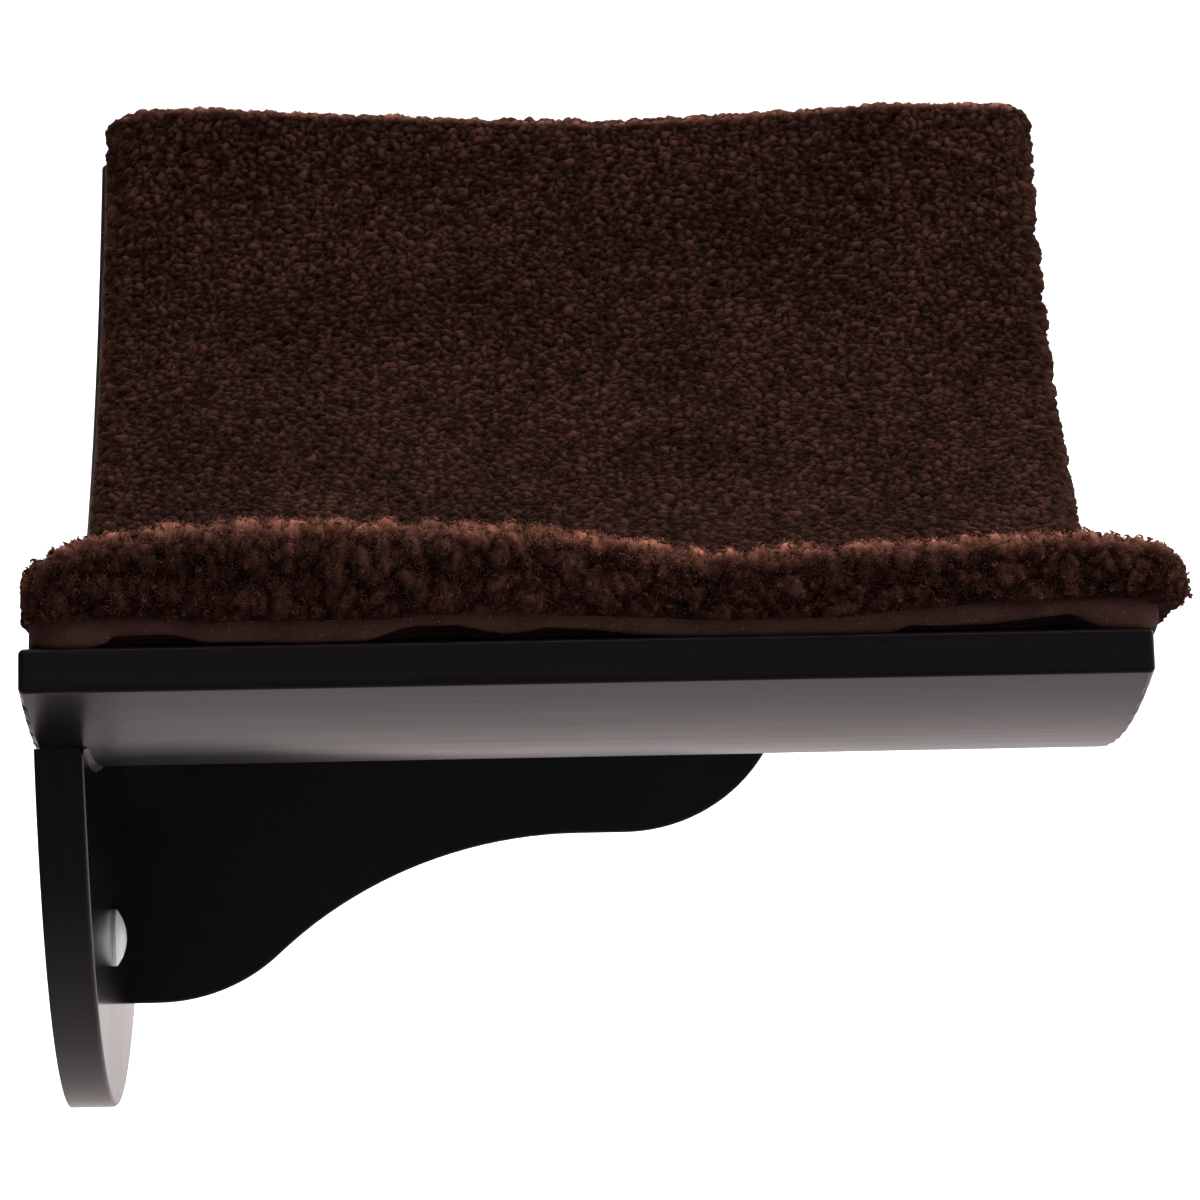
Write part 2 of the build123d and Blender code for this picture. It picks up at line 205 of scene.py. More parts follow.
def finish_group(name, inputs):
    """Shader group with number inputs, which puts out a colour, a roughness and a height."""
    group = bpy.data.node_groups.new(name, "ShaderNodeTree")
    for label, value in inputs.items():
        group.interface.new_socket(label, in_out="INPUT", socket_type="NodeSocketFloat").default_value = value
    for label, kind in (("Color", "NodeSocketColor"), ("Roughness", "NodeSocketFloat"), ("Height", "NodeSocketFloat")):
        group.interface.new_socket(label, in_out="OUTPUT", socket_type=kind)
    given, out = group.nodes.new("NodeGroupInput"), group.nodes.new("NodeGroupOutput")
    return group, group.nodes, given.outputs, out.inputs


def finished(nodes, surface, colour, roughness, height, strength, distance, **settings):
    """Close a material: colour, roughness and a bump from a height, with the shader's other settings."""
    bump = add_node(nodes, "ShaderNodeBump", Strength=strength, Distance=distance, Height=height)
    feed(surface, add_node(nodes, "ShaderNodeBsdfPrincipled", Base_Color=colour, Roughness=roughness, Normal=bump,
                           **settings))


def paint_group():
    """Satin paint: level layer streaks, brush-fine grain and orange peel, as colour, roughness and bump."""
    group, nodes, given, out = finish_group("satin_paint", {
        "Streak Scale X": 6.0, "Streak Scale Y": 6.0, "Streak Scale Z": 600.0, "Streak Strength": 0.5,
        "Dust": 0.3, "Gloss": 0.26})
    place = own_place(nodes)
    stretch = add_node(nodes, "ShaderNodeCombineXYZ", *(given["Streak Scale " + axis] for axis in "XYZ"))
    stretched = add_node(nodes, "ShaderNodeVectorMath", place, stretch, operation="MULTIPLY")
    streaks = add_node(nodes, "ShaderNodeTexNoise", stretched, Scale=1.0, Detail=5.0, Roughness=0.62)
    cloud = add_node(nodes, "ShaderNodeTexNoise", place, Scale=22.0, Detail=4.0, Roughness=0.55)
    specks = add_node(nodes, "ShaderNodeTexNoise", place, Scale=1600.0, Detail=2.0)
    peel = add_node(nodes, "ShaderNodeTexNoise", place, Scale=420.0, Detail=2.0, Roughness=0.4)

    tone = colour_ramp(nodes, streaks, (0.28, (0.0034, 0.0026, 0.0029)), (0.78, (0.0122, 0.0097, 0.0108)))
    streaked = blended(nodes, given["Streak Strength"], (0.0068, 0.0054, 0.0061, 1), tone)
    dust_specks = add_node(nodes, "ShaderNodeMapRange", specks, From_Min=0.70, From_Max=0.80)
    dust_share = maths(nodes, "MULTIPLY", dust_specks, given["Dust"])
    feed(out["Color"], blended(nodes, dust_share, streaked, (0.06, 0.055, 0.055, 1)))

    spread = add_node(nodes, "ShaderNodeMapRange", cloud, From_Min=0.3, From_Max=0.7, To_Min=-0.010, To_Max=0.014)
    drawn = add_node(nodes, "ShaderNodeMapRange", streaks, From_Min=0.25, From_Max=0.75, To_Min=-0.035, To_Max=0.045)
    feed(out["Roughness"], maths(nodes, "ADD", given["Gloss"], maths(nodes, "ADD", spread, drawn)))

    layers = maths(nodes, "MULTIPLY", streaks, given["Streak Strength"])
    feed(out["Height"], maths(nodes, "MULTIPLY_ADD", peel, 0.35, layers))
    return group


def paint_material(name, streak_scales, streak_strength, gloss, dust):
    """Satin espresso paint with its streaks along the way that the sheet was cut."""
    material, nodes, surface = new_material(name)
    coat = add_node(nodes, "ShaderNodeGroup", *streak_scales, node_tree=satin_paint,
                    Streak_Strength=streak_strength, Gloss=gloss, Dust=dust)
    finished(nodes, surface, coat.outputs["Color"], coat.outputs["Roughness"], coat.outputs["Height"],
             0.12, 0.0003, IOR=1.5)
    return material


def dress(node_name, material):
    """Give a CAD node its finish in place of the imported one."""
    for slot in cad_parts[node_name].material_slots:
        slot.material = material


satin_paint = paint_group()
dress("shelf_board", paint_material("board_paint", (5.0, 4.0, 700.0), 0.5, 0.21, 0.25))


# Wall plate
# A half-oval plate of the same 12 mm fibreboard, its top edge cut to the bow and glued, dowelled and
# screwed to it. The sawn edge shows the board's layers along it through the paint.

dress("wall_plate", paint_material("plate_paint", (6.0, 700.0, 6.0), 0.55, 0.12, 0.25))


# Scroll bracket
# One flat scroll cut from 12 mm fibreboard, square to the plate and to the board's underside, sanded
# round along its lower edge before it was painted.

dress("bracket", paint_material("bracket_paint", (700.0, 7.0, 5.0), 0.45, 0.27, 0.3))


# Glue line
# Thin hollow fillet of glue and paint where the plate's front meets the bowed underside. It dried glossier than
# the paint; its lighter patches, which break up along the joint, are painted highlight for the glints there.

material, nodes, surface = new_material("glue_line")
breaks = add_node(nodes, "ShaderNodeTexNoise", own_place(nodes), Scale=95.0, Detail=4.0)
# The light end of this ramp is painted highlight along the joint, on the dark glue.
tone = colour_ramp(nodes, breaks, (0.42, (0.006, 0.005, 0.005)), (0.66, (0.16, 0.135, 0.125)))
dried = add_node(nodes, "ShaderNodeMapRange", breaks, To_Min=0.16, To_Max=0.4)
finished(nodes, surface, tone, dried, breaks, 0.4, 0.0004, IOR=1.47)
dress("seam_bead", material)


# Dowels
# Fluted beech dowels glued into the joints, out of sight in the finished shelf: pale wood with short dark
# flecks along each peg.

def beech_material(name, grain_scales):
    """Bare beech with its grain along the dowel."""
    material, nodes, surface = new_material(name)
    along = add_node(nodes, "ShaderNodeMapping", own_place(nodes), vector_type="POINT", Scale=grain_scales)
    grain = add_node(nodes, "ShaderNodeTexNoise", along, Scale=1.0, Detail=6.0, Roughness=0.6)
    tone = colour_ramp(nodes, grain, (0.3, (0.36, 0.2, 0.1)), (0.62, (0.66, 0.45, 0.28)))
    finished(nodes, surface, tone, 0.62, grain, 0.25, 0.0002)
    return material


upright_beech = beech_material("beech_upright", (900.0, 900.0, 60.0))
dress("plate_dowels", upright_beech)
dress("bracket_dowels", upright_beech)
dress("heel_dowel", beech_material("beech_level", (900.0, 60.0, 900.0)))


# Assembly screws
# Zinc-plated countersunk screws with a cross recess, sunk flush from the board's top and the plate's back.
# The plating is bright and faintly brushed by tumbling, with duller patches.

material, nodes, surface = new_material("zinc_plating")
patches = add_node(nodes, "ShaderNodeTexNoise", own_place(nodes), Scale=420.0, Detail=4.0)
tone = colour_ramp(nodes, patches, (0.0, (0.42, 0.41, 0.38)), (1.0, (0.72, 0.70, 0.64)))
dull = add_node(nodes, "ShaderNodeMapRange", patches, To_Min=0.24, To_Max=0.48)
finished(nodes, surface, tone, dull, patches, 0.15, 0.0001, Metallic=1.0)
for name in ("board_to_plate_screws", "board_to_bracket_screws", "plate_to_bracket_screws"):
    dress(name, material)


# Screw caps
# White moulded caps with a shallow dome and a split stem, pushed into the seats over the two wall screws.
# Injection-moulded plastic: glossy, with a soft flow texture.

material, nodes, surface = new_material("cap_plastic")
flow = add_node(nodes, "ShaderNodeTexNoise", own_place(nodes), Scale=260.0, Detail=3.0)
tone = colour_ramp(nodes, flow, (0.3, (0.76, 0.76, 0.78)), (0.7, (0.86, 0.86, 0.88)))
sheen = add_node(nodes, "ShaderNodeMapRange", flow, To_Min=0.18, To_Max=0.32)
finished(nodes, surface, tone, sheen, flow, 0.06, 0.0002, IOR=1.5, Subsurface_Weight=0.15,
         Subsurface_Radius=(0.002, 0.002, 0.002))
dress("screw_cap_left", material)
dress("screw_cap_right", material)


# Hook tapes
# Four black nylon hook tapes, 25 mm wide, stuck across the board: a woven base with rows of small bent
# hooks that hold the pad. They show once the pad is lifted off.

board_half_length = 0.254
bow_bottom = 0.045
underside_radius, board_top_radius = 0.4525641, 0.4415641
bow_centre_height = bow_bottom + underside_radius
board_end_turn = 0.5958526
board_half_arc = board_end_turn * board_top_radius
tape_shares = {"left_end": -0.81, "left_inner": -0.31, "right_inner": 0.31, "right_end": 0.81}
tape_half_width = 0.0125
tape_wall_y, tape_front_y = -0.030, -0.237
nap_margin = 0.001
nap_rows_across, nap_rows_along = 12, 60
glue_lift, hook_base = 0.0001, 0.0005


def on_board(arc, y, lift):
    """Points over the board: arc length along its top from the middle, depth, and height off its top face."""
    angle = np.asarray(arc, float) / board_top_radius
    radius = board_top_radius - np.asarray(lift, float)
    return np.stack(np.broadcast_arrays(radius * np.sin(angle), y, bow_centre_height - radius * np.cos(angle)), -1)


def grid_faces(rows, columns, first=0):
    """Quads of a grid of points stored row by row, facing up where the columns run to -Y."""
    index = np.arange(rows * columns).reshape(rows, columns) + first
    a, b, c, d = index[:-1, :-1], index[1:, :-1], index[1:, 1:], index[:-1, 1:]
    return np.stack([a.ravel(), d.ravel(), c.ravel(), b.ravel()], 1)


def new_piece(name, points, faces, material, smooth=True):
    """Mesh object in the scene from arrays of points and faces."""
    mesh = bpy.data.meshes.new(name)
    mesh.from_pydata(np.asarray(points).tolist(), [], [list(map(int, face)) for face in faces])
    mesh.polygons.foreach_set("use_smooth", [smooth] * len(mesh.polygons))
    mesh.materials.append(material)
    return in_scene(name, mesh)


def face_outwards(piece):
    """Merge doubles and turn every face of a closed piece outwards."""
    shape = bmesh.new()
    shape.from_mesh(piece.data)
    bmesh.ops.remove_doubles(shape, verts=shape.verts, dist=1e-7)
    bmesh.ops.recalc_face_normals(shape, faces=shape.faces)
    shape.to_mesh(piece.data)
    shape.free()


def bowed_slab(name, arc_from, arc_to, wall_y, front_y, low, high, material, arc_steps=24):
    """Closed thin slab that follows the board, with its edges closed."""
    arcs = np.linspace(arc_from, arc_to, arc_steps)
    depths = np.linspace(wall_y, front_y, 2)
    layers = []
    for lift in (low, high):
        layers.append(on_board(arcs[:, None], depths[None, :], lift).reshape(-1, 3))
    count = len(layers[0])
    bottom = grid_faces(arc_steps, 2)[:, ::-1]
    top = grid_faces(arc_steps, 2, count)
    loop = [2 * i for i in range(arc_steps)] + [2 * i + 1 for i in range(arc_steps - 1, -1, -1)]
    walls = [[a, b, b + count, a + count] for a, b in zip(loop, loop[1:] + loop[:1])]
    piece = new_piece(name, np.concatenate(layers), [*bottom, *top, *walls], material, smooth=False)
    face_outwards(piece)
    return piece


def tree_with(name, **inputs):
    """Geometry tree with named inputs: the tree, the inputs' identifiers, their sockets, and the end's socket."""
    tree = bpy.data.node_groups.new(name, "GeometryNodeTree")
    tree.is_modifier = True
    tree.interface.new_socket("Geometry", in_out="INPUT", socket_type="NodeSocketGeometry")
    keys = {}
    for label, kind in inputs.items():
        socket = tree.interface.new_socket(label.replace("_", " "), in_out="INPUT", socket_type="NodeSocket" + kind)
        keys[socket.name] = socket.identifier
    tree.interface.new_socket("Geometry", in_out="OUTPUT", socket_type="NodeSocketGeometry")
    given, out = tree.nodes.new("NodeGroupInput"), tree.nodes.new("NodeGroupOutput")
    return tree, keys, given.outputs, out.inputs["Geometry"]


def grown(tree, keys, source, name, values):
    """Run a geometry tree on a piece, and return what it makes as a plain mesh piece of its own."""
    modifier = source.modifiers.new(tree.name, "NODES")
    modifier.node_group = tree
    for label, value in values.items():
        modifier[keys[label]] = value
    evaluated = source.evaluated_get(bpy.context.evaluated_depsgraph_get())
    mesh = bpy.data.meshes.new_from_object(evaluated)
    mesh.name = name
    source.modifiers.remove(modifier)
    return in_scene(name, mesh)


def joined(name, pieces):
    """Join mesh pieces into the first one, under a name."""
    bpy.ops.object.select_all(action="DESELECT")
    for piece in pieces:
        piece.select_set(True)
    bpy.context.view_layer.objects.active = pieces[0]
    bpy.ops.object.join()
    pieces[0].name = name
    pieces[0].data.name = name
    return pieces[0]


def in_material(nodes, instances, given, out):
    """End a tree: its instances as one plain mesh, in the given material."""
    plain = add_node(nodes, "GeometryNodeRealizeInstances", instances)
    feed(out, add_node(nodes, "GeometryNodeSetMaterial", Geometry=plain, Material=given["Material"]))


def nap_tree():
    """Rows of small bent threads that stand on a sheet: hooks, or loops where they come back to it."""
    tree, keys, given, out = tree_with("nap_rows", Height="Float", Reach="Float", Thread_Radius="Float",
                                       Spacing="Float", Lean="Float", Seed="Int", Material="Material")
    nodes = tree.nodes
    up = add_node(nodes, "ShaderNodeCombineXYZ", Z=given["Height"])
    over = add_node(nodes, "ShaderNodeCombineXYZ", X=given["Reach"], Z=given["Lean"])
    half_over = add_node(nodes, "ShaderNodeVectorMath", over, operation="SCALE", Scale=0.5)
    above = add_node(nodes, "ShaderNodeVectorMath", up, (2, 2, 2), half_over, operation="MULTIPLY_ADD")
    bend = add_node(nodes, "GeometryNodeCurveQuadraticBezier", Resolution=3, Start=(0, 0, 0), Middle=above, End=over)
    ring = add_node(nodes, "GeometryNodeCurvePrimitiveCircle", Resolution=3, Radius=given["Thread Radius"])
    thread = add_node(nodes, "GeometryNodeCurveToMesh", Curve=bend, Profile_Curve=ring)
    spread = add_node(nodes, "GeometryNodeDistributePointsOnFaces", distribute_method="POISSON",
                      Mesh=given["Geometry"], Distance_Min=given["Spacing"], Density_Max=900000.0, Seed=given["Seed"])
    turn = add_node(nodes, "FunctionNodeRandomValue", (-0.18, -0.18, -0.5), (0.18, 0.18, 0.5),
                    data_type="FLOAT_VECTOR")
    stand = add_node(nodes, "FunctionNodeRotateRotation", spread.outputs["Rotation"], turn, rotation_space="LOCAL")
    planted = add_node(nodes, "GeometryNodeInstanceOnPoints", Points=spread, Instance=thread, Rotation=stand)
    in_material(nodes, planted, given, out)
    return tree, keys


def nylon_material(name, dark, light, roughness):
    """Woven nylon tape: a fine basket weave in Object coordinates, dark between the threads."""
    material, nodes, surface = new_material(name)
    place = own_place(nodes)
    waves = [add_node(nodes, "ShaderNodeTexWave", place, wave_type="BANDS", bands_direction=axis, Scale=130.0)
             for axis in "XY"]
    weave = maths(nodes, "MULTIPLY", *(wave.outputs["Fac"] for wave in waves))
    tone = colour_ramp(nodes, weave, (0.0, dark), (1.0, light))
    finished(nodes, surface, tone, roughness, weave, 0.5, 0.0002,
             Sheen_Weight=0.2, Sheen_Tint=(*(8 * part for part in light), 1))
    return material


def tape_middle(share):
    """Arc length from the board's middle to the middle of a tape, from its share of the board's half length."""
    return board_top_radius * math.asin(share * board_half_length / underside_radius)


def napped_tape(name, share, low, high, nap_up, nylon, nap):
    """Tape across the board from one height to another, with a nap on its upper or its lower face."""
    arc_from, arc_to = tape_middle(share) - tape_half_width, tape_middle(share) + tape_half_width
    base = bowed_slab(name, arc_from, arc_to, tape_wall_y, tape_front_y, low, high, nylon)
    arcs = np.linspace(arc_from + nap_margin, arc_to - nap_margin, nap_rows_across)
    depths = np.linspace(tape_wall_y - nap_margin, tape_front_y + nap_margin, nap_rows_along)
    faces = grid_faces(nap_rows_across, nap_rows_along)
    field = new_piece("nap_field", on_board(arcs[:, None], depths[None, :], high if nap_up else low).reshape(-1, 3),
                      faces if nap_up else faces[:, ::-1], nylon)
    threads = grown(nap_rows, nap_keys, field, "nap", {**nap, "Material": nylon})
    bpy.data.objects.remove(field)
    return joined(name, [base, threads])


nap_rows, nap_keys = nap_tree()
hook_nylon = nylon_material("hook_nylon", (0.004, 0.004, 0.004), (0.03, 0.028, 0.028), 0.42)
for number, (where_on, share) in enumerate(tape_shares.items()):
    tape = napped_tape("hook_tape_" + where_on, share, glue_lift, hook_base, True, hook_nylon, {
        "Height": 0.00055, "Reach": 0.0005, "Thread Radius": 0.00011, "Spacing": 0.0017, "Lean": 0.0003,
        "Seed": 11 + number})
    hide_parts("hook_strip_" + where_on)
    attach(tape, "shelf")


# Loop tapes
# Four soft brown loop tapes sewn under the pad, over the hook tapes: a knitted base with a brushed nap of
# small loops that faces down.

loop_top, loop_bottom = 0.0026, 0.0019
loop_nylon = nylon_material("loop_nylon", (0.018, 0.0095, 0.0075), (0.085, 0.045, 0.036), 0.7)
for number, (where_on, share) in enumerate(tape_shares.items()):
    tape = napped_tape("loop_tape_" + where_on, share, loop_bottom, loop_top, False, loop_nylon, {
        "Height": 0.0002, "Reach": 0.0009, "Thread Radius": 0.00008, "Spacing": 0.0019, "Lean": 0.0,
        "Seed": 31 + number})
    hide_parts("loop_strip_" + where_on)
    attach(tape, "pad")


# Pad underside
# A sheet of brown brushed suede cloth that closes the pad from below. The loop tapes are sewn to it, and
# a row of stitches runs round it just inside the edge.

def suede_group():
    """Brushed suede cloth: soft nap clouds, short fibres and lint, as colour, roughness and bump."""
    group, nodes, given, out = finish_group("suede_nap", {
        "Cloud Scale": 60.0, "Fibre Scale": 1500.0, "Lint": 0.4, "Tone": 1.0})
    place = own_place(nodes)
    cloud = add_node(nodes, "ShaderNodeTexNoise", place, Scale=given["Cloud Scale"], Detail=3.0, Roughness=0.5)
    fibre = add_node(nodes, "ShaderNodeTexNoise", place, Scale=given["Fibre Scale"], Detail=4.0, Roughness=0.7)
    lint = add_node(nodes, "ShaderNodeTexNoise", place, Scale=2400.0, Detail=1.0)
    nap = maths(nodes, "MULTIPLY_ADD", fibre, 0.5, maths(nodes, "MULTIPLY", cloud, 0.5))
    tone = colour_ramp(nodes, nap, (0.3, (0.028, 0.0120, 0.0092)), (0.7, (0.072, 0.033, 0.026)))
    lint_spots = add_node(nodes, "ShaderNodeMapRange", lint, From_Min=0.72, From_Max=0.78)
    lint_share = maths(nodes, "MULTIPLY", lint_spots, given["Lint"])
    linty = blended(nodes, lint_share, tone, (0.3, 0.24, 0.22, 1))
    # The colour is scaled down to paint shade where the cloth lies out of the light.
    feed(out["Color"], add_node(nodes, "ShaderNodeVectorMath", linty, operation="SCALE", Scale=given["Tone"]))
    feed(out["Roughness"], add_node(nodes, "ShaderNodeMapRange", fibre, To_Min=0.8, To_Max=0.96))
    feed(out["Height"], fibre)
    return group


def suede_material(name, cloud_scale, lint, shade_scale=1.0):
    """Suede cloth with a soft edge glow from its brushed nap."""
    material, nodes, surface = new_material(name)
    nap = add_node(nodes, "ShaderNodeGroup", node_tree=suede_nap, Cloud_Scale=cloud_scale, Lint=lint, Tone=shade_scale)
    finished(nodes, surface, nap.outputs["Color"], nap.outputs["Roughness"], nap.outputs["Height"], 0.45, 0.0004,
             Specular_IOR_Level=0.08, Sheen_Weight=0.06, Sheen_Roughness=0.45, Sheen_Tint=(0.55, 0.34, 0.3, 1))
    return material


def rounded_ring(half_arc, wall_y, front_y, corner, step):
    """Arc and depth of points round a rounded rectangle, evenly spaced, from the middle of the wall side."""
    middle_y = (wall_y + front_y) / 2
    half_depth = (wall_y - front_y) / 2
    straight_x, straight_y = half_arc - corner, half_depth - corner
    runs = [("line", straight_x), ("bend", 0), ("line", 2 * straight_y), ("bend", 90), ("line", 2 * straight_x),
            ("bend", 180), ("line", 2 * straight_y), ("bend", 270), ("line", straight_x)]
    points, heading, place = [], 0.0, np.array([0.0, half_depth])
    for kind, amount in runs:
        if kind == "line":
            count = max(2, round(amount / step))
            direction = np.array([math.cos(heading), math.sin(heading)])
            points += [place + direction * amount * i / count for i in range(count)]
            place = place + direction * amount
        else:
            count = max(4, round(corner * math.pi / 2 / step))
            centre = place + corner * np.array([math.cos(heading - math.pi / 2), math.sin(heading - math.pi / 2)])
            start = heading + math.pi / 2
            for i in range(count):
                turn = start - math.pi / 2 * i / count
                points.append(centre + corner * np.array([math.cos(turn), math.sin(turn)]))
            heading -= math.pi / 2
            place = centre + corner * np.array([math.cos(start - math.pi / 2), math.sin(start - math.pi / 2)])
    ring = np.array(points)
    return ring[:, 0], ring[:, 1] + middle_y


def smooth_noise(seed, size, wavelength, *coordinates):
    """Smooth random field of about -1 to 1, from a few dozen waves of about one length."""
    dice = np.random.default_rng(seed)
    total = 0
    for _ in range(size):
        directions = dice.normal(size=len(coordinates))
        directions /= np.linalg.norm(directions)
        rate = 2 * math.pi / (wavelength * dice.uniform(0.7, 1.5))
        phase = dice.uniform(0, 2 * math.pi)
        total = total + np.sin(sum(rate * d * c for d, c in zip(directions, coordinates)) + phase)
    return total / math.sqrt(size / 2) / 2


pad_end_margin = 0.0015
pad_half_arc = board_half_arc - pad_end_margin
pad_wall_y, pad_front_y = -0.0018, -0.272
pad_corner = 0.006


def laid_askew(arc, y):
    """How far the pad's front side lies off its straight place: a little in at the left end, out at the right."""
    shift = np.interp(np.asarray(arc) / pad_half_arc, [-1.0, -0.76, -0.35, -0.1, 1.0],
                      [0.0036, 0.0041, 0.0012, -0.0014, -0.0034])
    return shift * np.clip(np.asarray(y) / pad_front_y, 0, 1) ** 2


# The near end as the photograph shows it: depths in metres, and the lower edge's height there in millimetres.
gap_marks = [-0.267, -0.2642, -0.2548, -0.2501, -0.248, -0.2407, -0.2289, -0.2172, -0.209, -0.2066, -0.2031, -0.1937,
             -0.1725, -0.1561, -0.1443, -0.1366, -0.1302, -0.1243, -0.1178, -0.1145, -0.1091, -0.1037, -0.099, -0.0933,
             -0.0896, -0.0856, -0.0816, -0.0738, -0.0691, -0.0534, -0.044, -0.0393, -0.0355, -0.0284, -0.0226, -0.0214,
             -0.0167, -0.0103, -0.0063, -0.0033]
gap_heights = [0.3, 0.3, 0.7, 2.6, 3.9, 3.2, 1.9, 1.6, 1.9, 0.7, 0.3, 0.3,
               0.3, 0.5, 1.05, 2.1, 2.6, 3.0, 1.9, 1.6, 2.5, 3.9, 3.9, 3.9,
               3.2, 1.85, 0.7, 0.7, 0.5, 0.95, 1.0, 2.1, 3.0, 2.9, 2.9, 1.4,
               0.3, 0.3, 0.7, 2.0]


def near_end_gap(y):
    """Height of the pad's lower edge over the board along the near end, where it waves."""
    return np.interp(y, gap_marks, gap_heights) / 1000


backing_bottom, backing_top = 0.0027, 0.0042
backing_inset = 0.0022
ripple_lift, ripple_height = 0.0003, 0.00022
most_pulled_up, pull_reach = 0.0013, 0.014
drawn_in_share = 1.4
suede_nap = suede_group()
# Painted shade: the underside is the same suede as the band, painted at 0.38 of its colour because it lies in shade
# under the pad.
backing_suede = suede_material("backing_suede", 40.0, 0.1, 0.38)


def turned_up(arc, y):
    """How far the underside is pulled up along the near end, where the side band stands off the board."""
    off_board = np.clip(near_end_gap(y) - backing_bottom, 0, most_pulled_up)
    return off_board * np.exp(-((arc + pad_half_arc) / pull_reach) ** 2)


def laid_grid(inset, rows, columns):
    """Arc and depth of a grid over the pad's outline with its round corners, moved in from the edge."""
    arcs = np.linspace(-pad_half_arc + inset, pad_half_arc - inset, rows)
    depths = np.linspace(pad_wall_y - inset, pad_front_y + inset, columns)
    arc_grid, depth_grid = np.meshgrid(arcs, depths, indexing="ij")
    mid_depth = (depths[0] + depths[-1]) / 2
    corner_x = np.clip(np.abs(arc_grid) - (arcs[-1] - pad_corner), 0, None)
    corner_y = np.clip(np.abs(depth_grid - mid_depth) - ((depths[0] - depths[-1]) / 2 - pad_corner), 0, None)
    square = np.maximum(corner_x, corner_y)
    pull = np.where(square > 0, square / np.maximum(np.hypot(corner_x, corner_y), 1e-9), 1.0)
    arc_grid = np.sign(arc_grid) * (np.abs(arc_grid) - corner_x * (1 - pull))
    depth_grid = mid_depth + np.sign(depth_grid - mid_depth) * (np.abs(depth_grid - mid_depth) - corner_y * (1 - pull))
    return arc_grid, depth_grid + laid_askew(arc_grid, depth_grid)


def laid_slab(name, arc_grid, depth_grid, low, high, material):
    """Closed slab over a laid grid, from one height off the board to another."""
    rows, columns = arc_grid.shape
    count = rows * columns
    index = np.arange(count).reshape(rows, columns)
    rim = list(index[:, 0]) + list(index[-1, 1:]) + list(index[-2::-1, -1]) + list(index[0, -2:0:-1])
    rim_faces = [[a, b, b + count, a + count] for a, b in zip(rim, rim[1:] + rim[:1])]
    layers = [on_board(arc_grid, depth_grid, lift).reshape(-1, 3) for lift in (low, high)]
    slab = new_piece(name, np.concatenate(layers),
                     [*grid_faces(rows, columns)[:, ::-1], *grid_faces(rows, columns, count), *rim_faces], material)
    face_outwards(slab)
    return slab


arc_grid, depth_grid = laid_grid(backing_inset, 180, 96)
ripple = ripple_height * smooth_noise(5, 24, 0.05, arc_grid, depth_grid)
pulled_up = turned_up(arc_grid, depth_grid)
arc_grid = arc_grid + drawn_in_share * pulled_up
backing = laid_slab("pad_backing", arc_grid, depth_grid, backing_bottom + ripple_lift + ripple + pulled_up,
                    backing_top + pulled_up, backing_suede)
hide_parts("fleece_backing")
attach(backing, "pad")


def stitch_tree():
    """A row of short arched stitches along a seam line, each lying in the line and standing off the cloth."""
    tree, keys, given, out = tree_with("stitch_row", Pitch="Float", Stitch="Float", Rise="Float",
                                       Thread_Radius="Float", Material="Material")
    nodes = tree.nodes
    seam = add_node(nodes, "GeometryNodeMeshToCurve", Mesh=given["Geometry"])
    places = add_node(nodes, "GeometryNodeCurveToPoints", mode="LENGTH", Curve=seam, Length=given["Pitch"])
    away = add_node(nodes, "GeometryNodeInputNamedAttribute", data_type="FLOAT_VECTOR", Name="away")
    in_line = add_node(nodes, "FunctionNodeAlignRotationToVector", axis="X", Vector=places.outputs["Tangent"])
    standing = add_node(nodes, "FunctionNodeAlignRotationToVector", axis="Z", pivot_axis="X", Rotation=in_line,
                        Vector=away)
    start, end = (add_node(nodes, "ShaderNodeCombineXYZ", X=maths(nodes, "MULTIPLY", given["Stitch"], share))
                  for share in (-0.5, 0.5))
    crest = add_node(nodes, "ShaderNodeCombineXYZ", Z=given["Rise"])
    arch = add_node(nodes, "GeometryNodeCurveQuadraticBezier", Resolution=4, Start=start, Middle=crest, End=end)
    ring = add_node(nodes, "GeometryNodeCurvePrimitiveCircle", Resolution=5, Radius=given["Thread Radius"])
    thread = add_node(nodes, "GeometryNodeCurveToMesh", Curve=arch, Profile_Curve=ring, Fill_Caps=True)
    sewn = add_node(nodes, "GeometryNodeInstanceOnPoints", Points=places, Instance=thread, Rotation=standing)
    in_material(nodes, sewn, given, out)
    return tree, keys


seam_inset = 0.0062
tape_seam_inset, tape_corner = 0.0014, 0.001
stitch_lift = 0.0002
seam_lines = []
ring_arc, ring_depth = rounded_ring(pad_half_arc - seam_inset, pad_wall_y - seam_inset, pad_front_y + seam_inset,
                                    pad_corner, 0.004)
ring_depth = ring_depth + laid_askew(ring_arc, ring_depth)
rim_lift = np.full(len(ring_arc), backing_bottom + stitch_lift) + turned_up(ring_arc, ring_depth)
seam_lines.append((ring_arc, ring_depth, rim_lift))
for share in tape_shares.values():
    ring_arc, ring_depth = rounded_ring(tape_half_width - tape_seam_inset, tape_wall_y - tape_seam_inset,
                                        tape_front_y + tape_seam_inset, tape_corner, 0.003)
    seam_lines.append((ring_arc + tape_middle(share), ring_depth, np.full(len(ring_arc), loop_bottom)))
seam_points, seam_away, seam_edges = [], [], []
for ring_arc, ring_depth, rim_lift in seam_lines:
    first = sum(len(block) for block in seam_points)
    seam_points.append(on_board(ring_arc, ring_depth, rim_lift))
    seam_away.append(on_board(ring_arc, ring_depth, rim_lift - 1.0) - seam_points[-1])
    seam_edges += [(first + i, first + (i + 1) % len(ring_arc)) for i in range(len(ring_arc))]
seam_mesh = bpy.data.meshes.new("seam_lines")
seam_mesh.from_pydata(np.concatenate(seam_points).tolist(), seam_edges, [])
away = seam_mesh.attributes.new("away", "FLOAT_VECTOR", "POINT")
away.data.foreach_set("vector", np.concatenate(seam_away).astype(np.float32).ravel())
seam = in_scene("seam_lines", seam_mesh)
thread_brown = suede_material("seam_thread", 500.0, 0.0)
stitch_row, stitch_keys = stitch_tree()
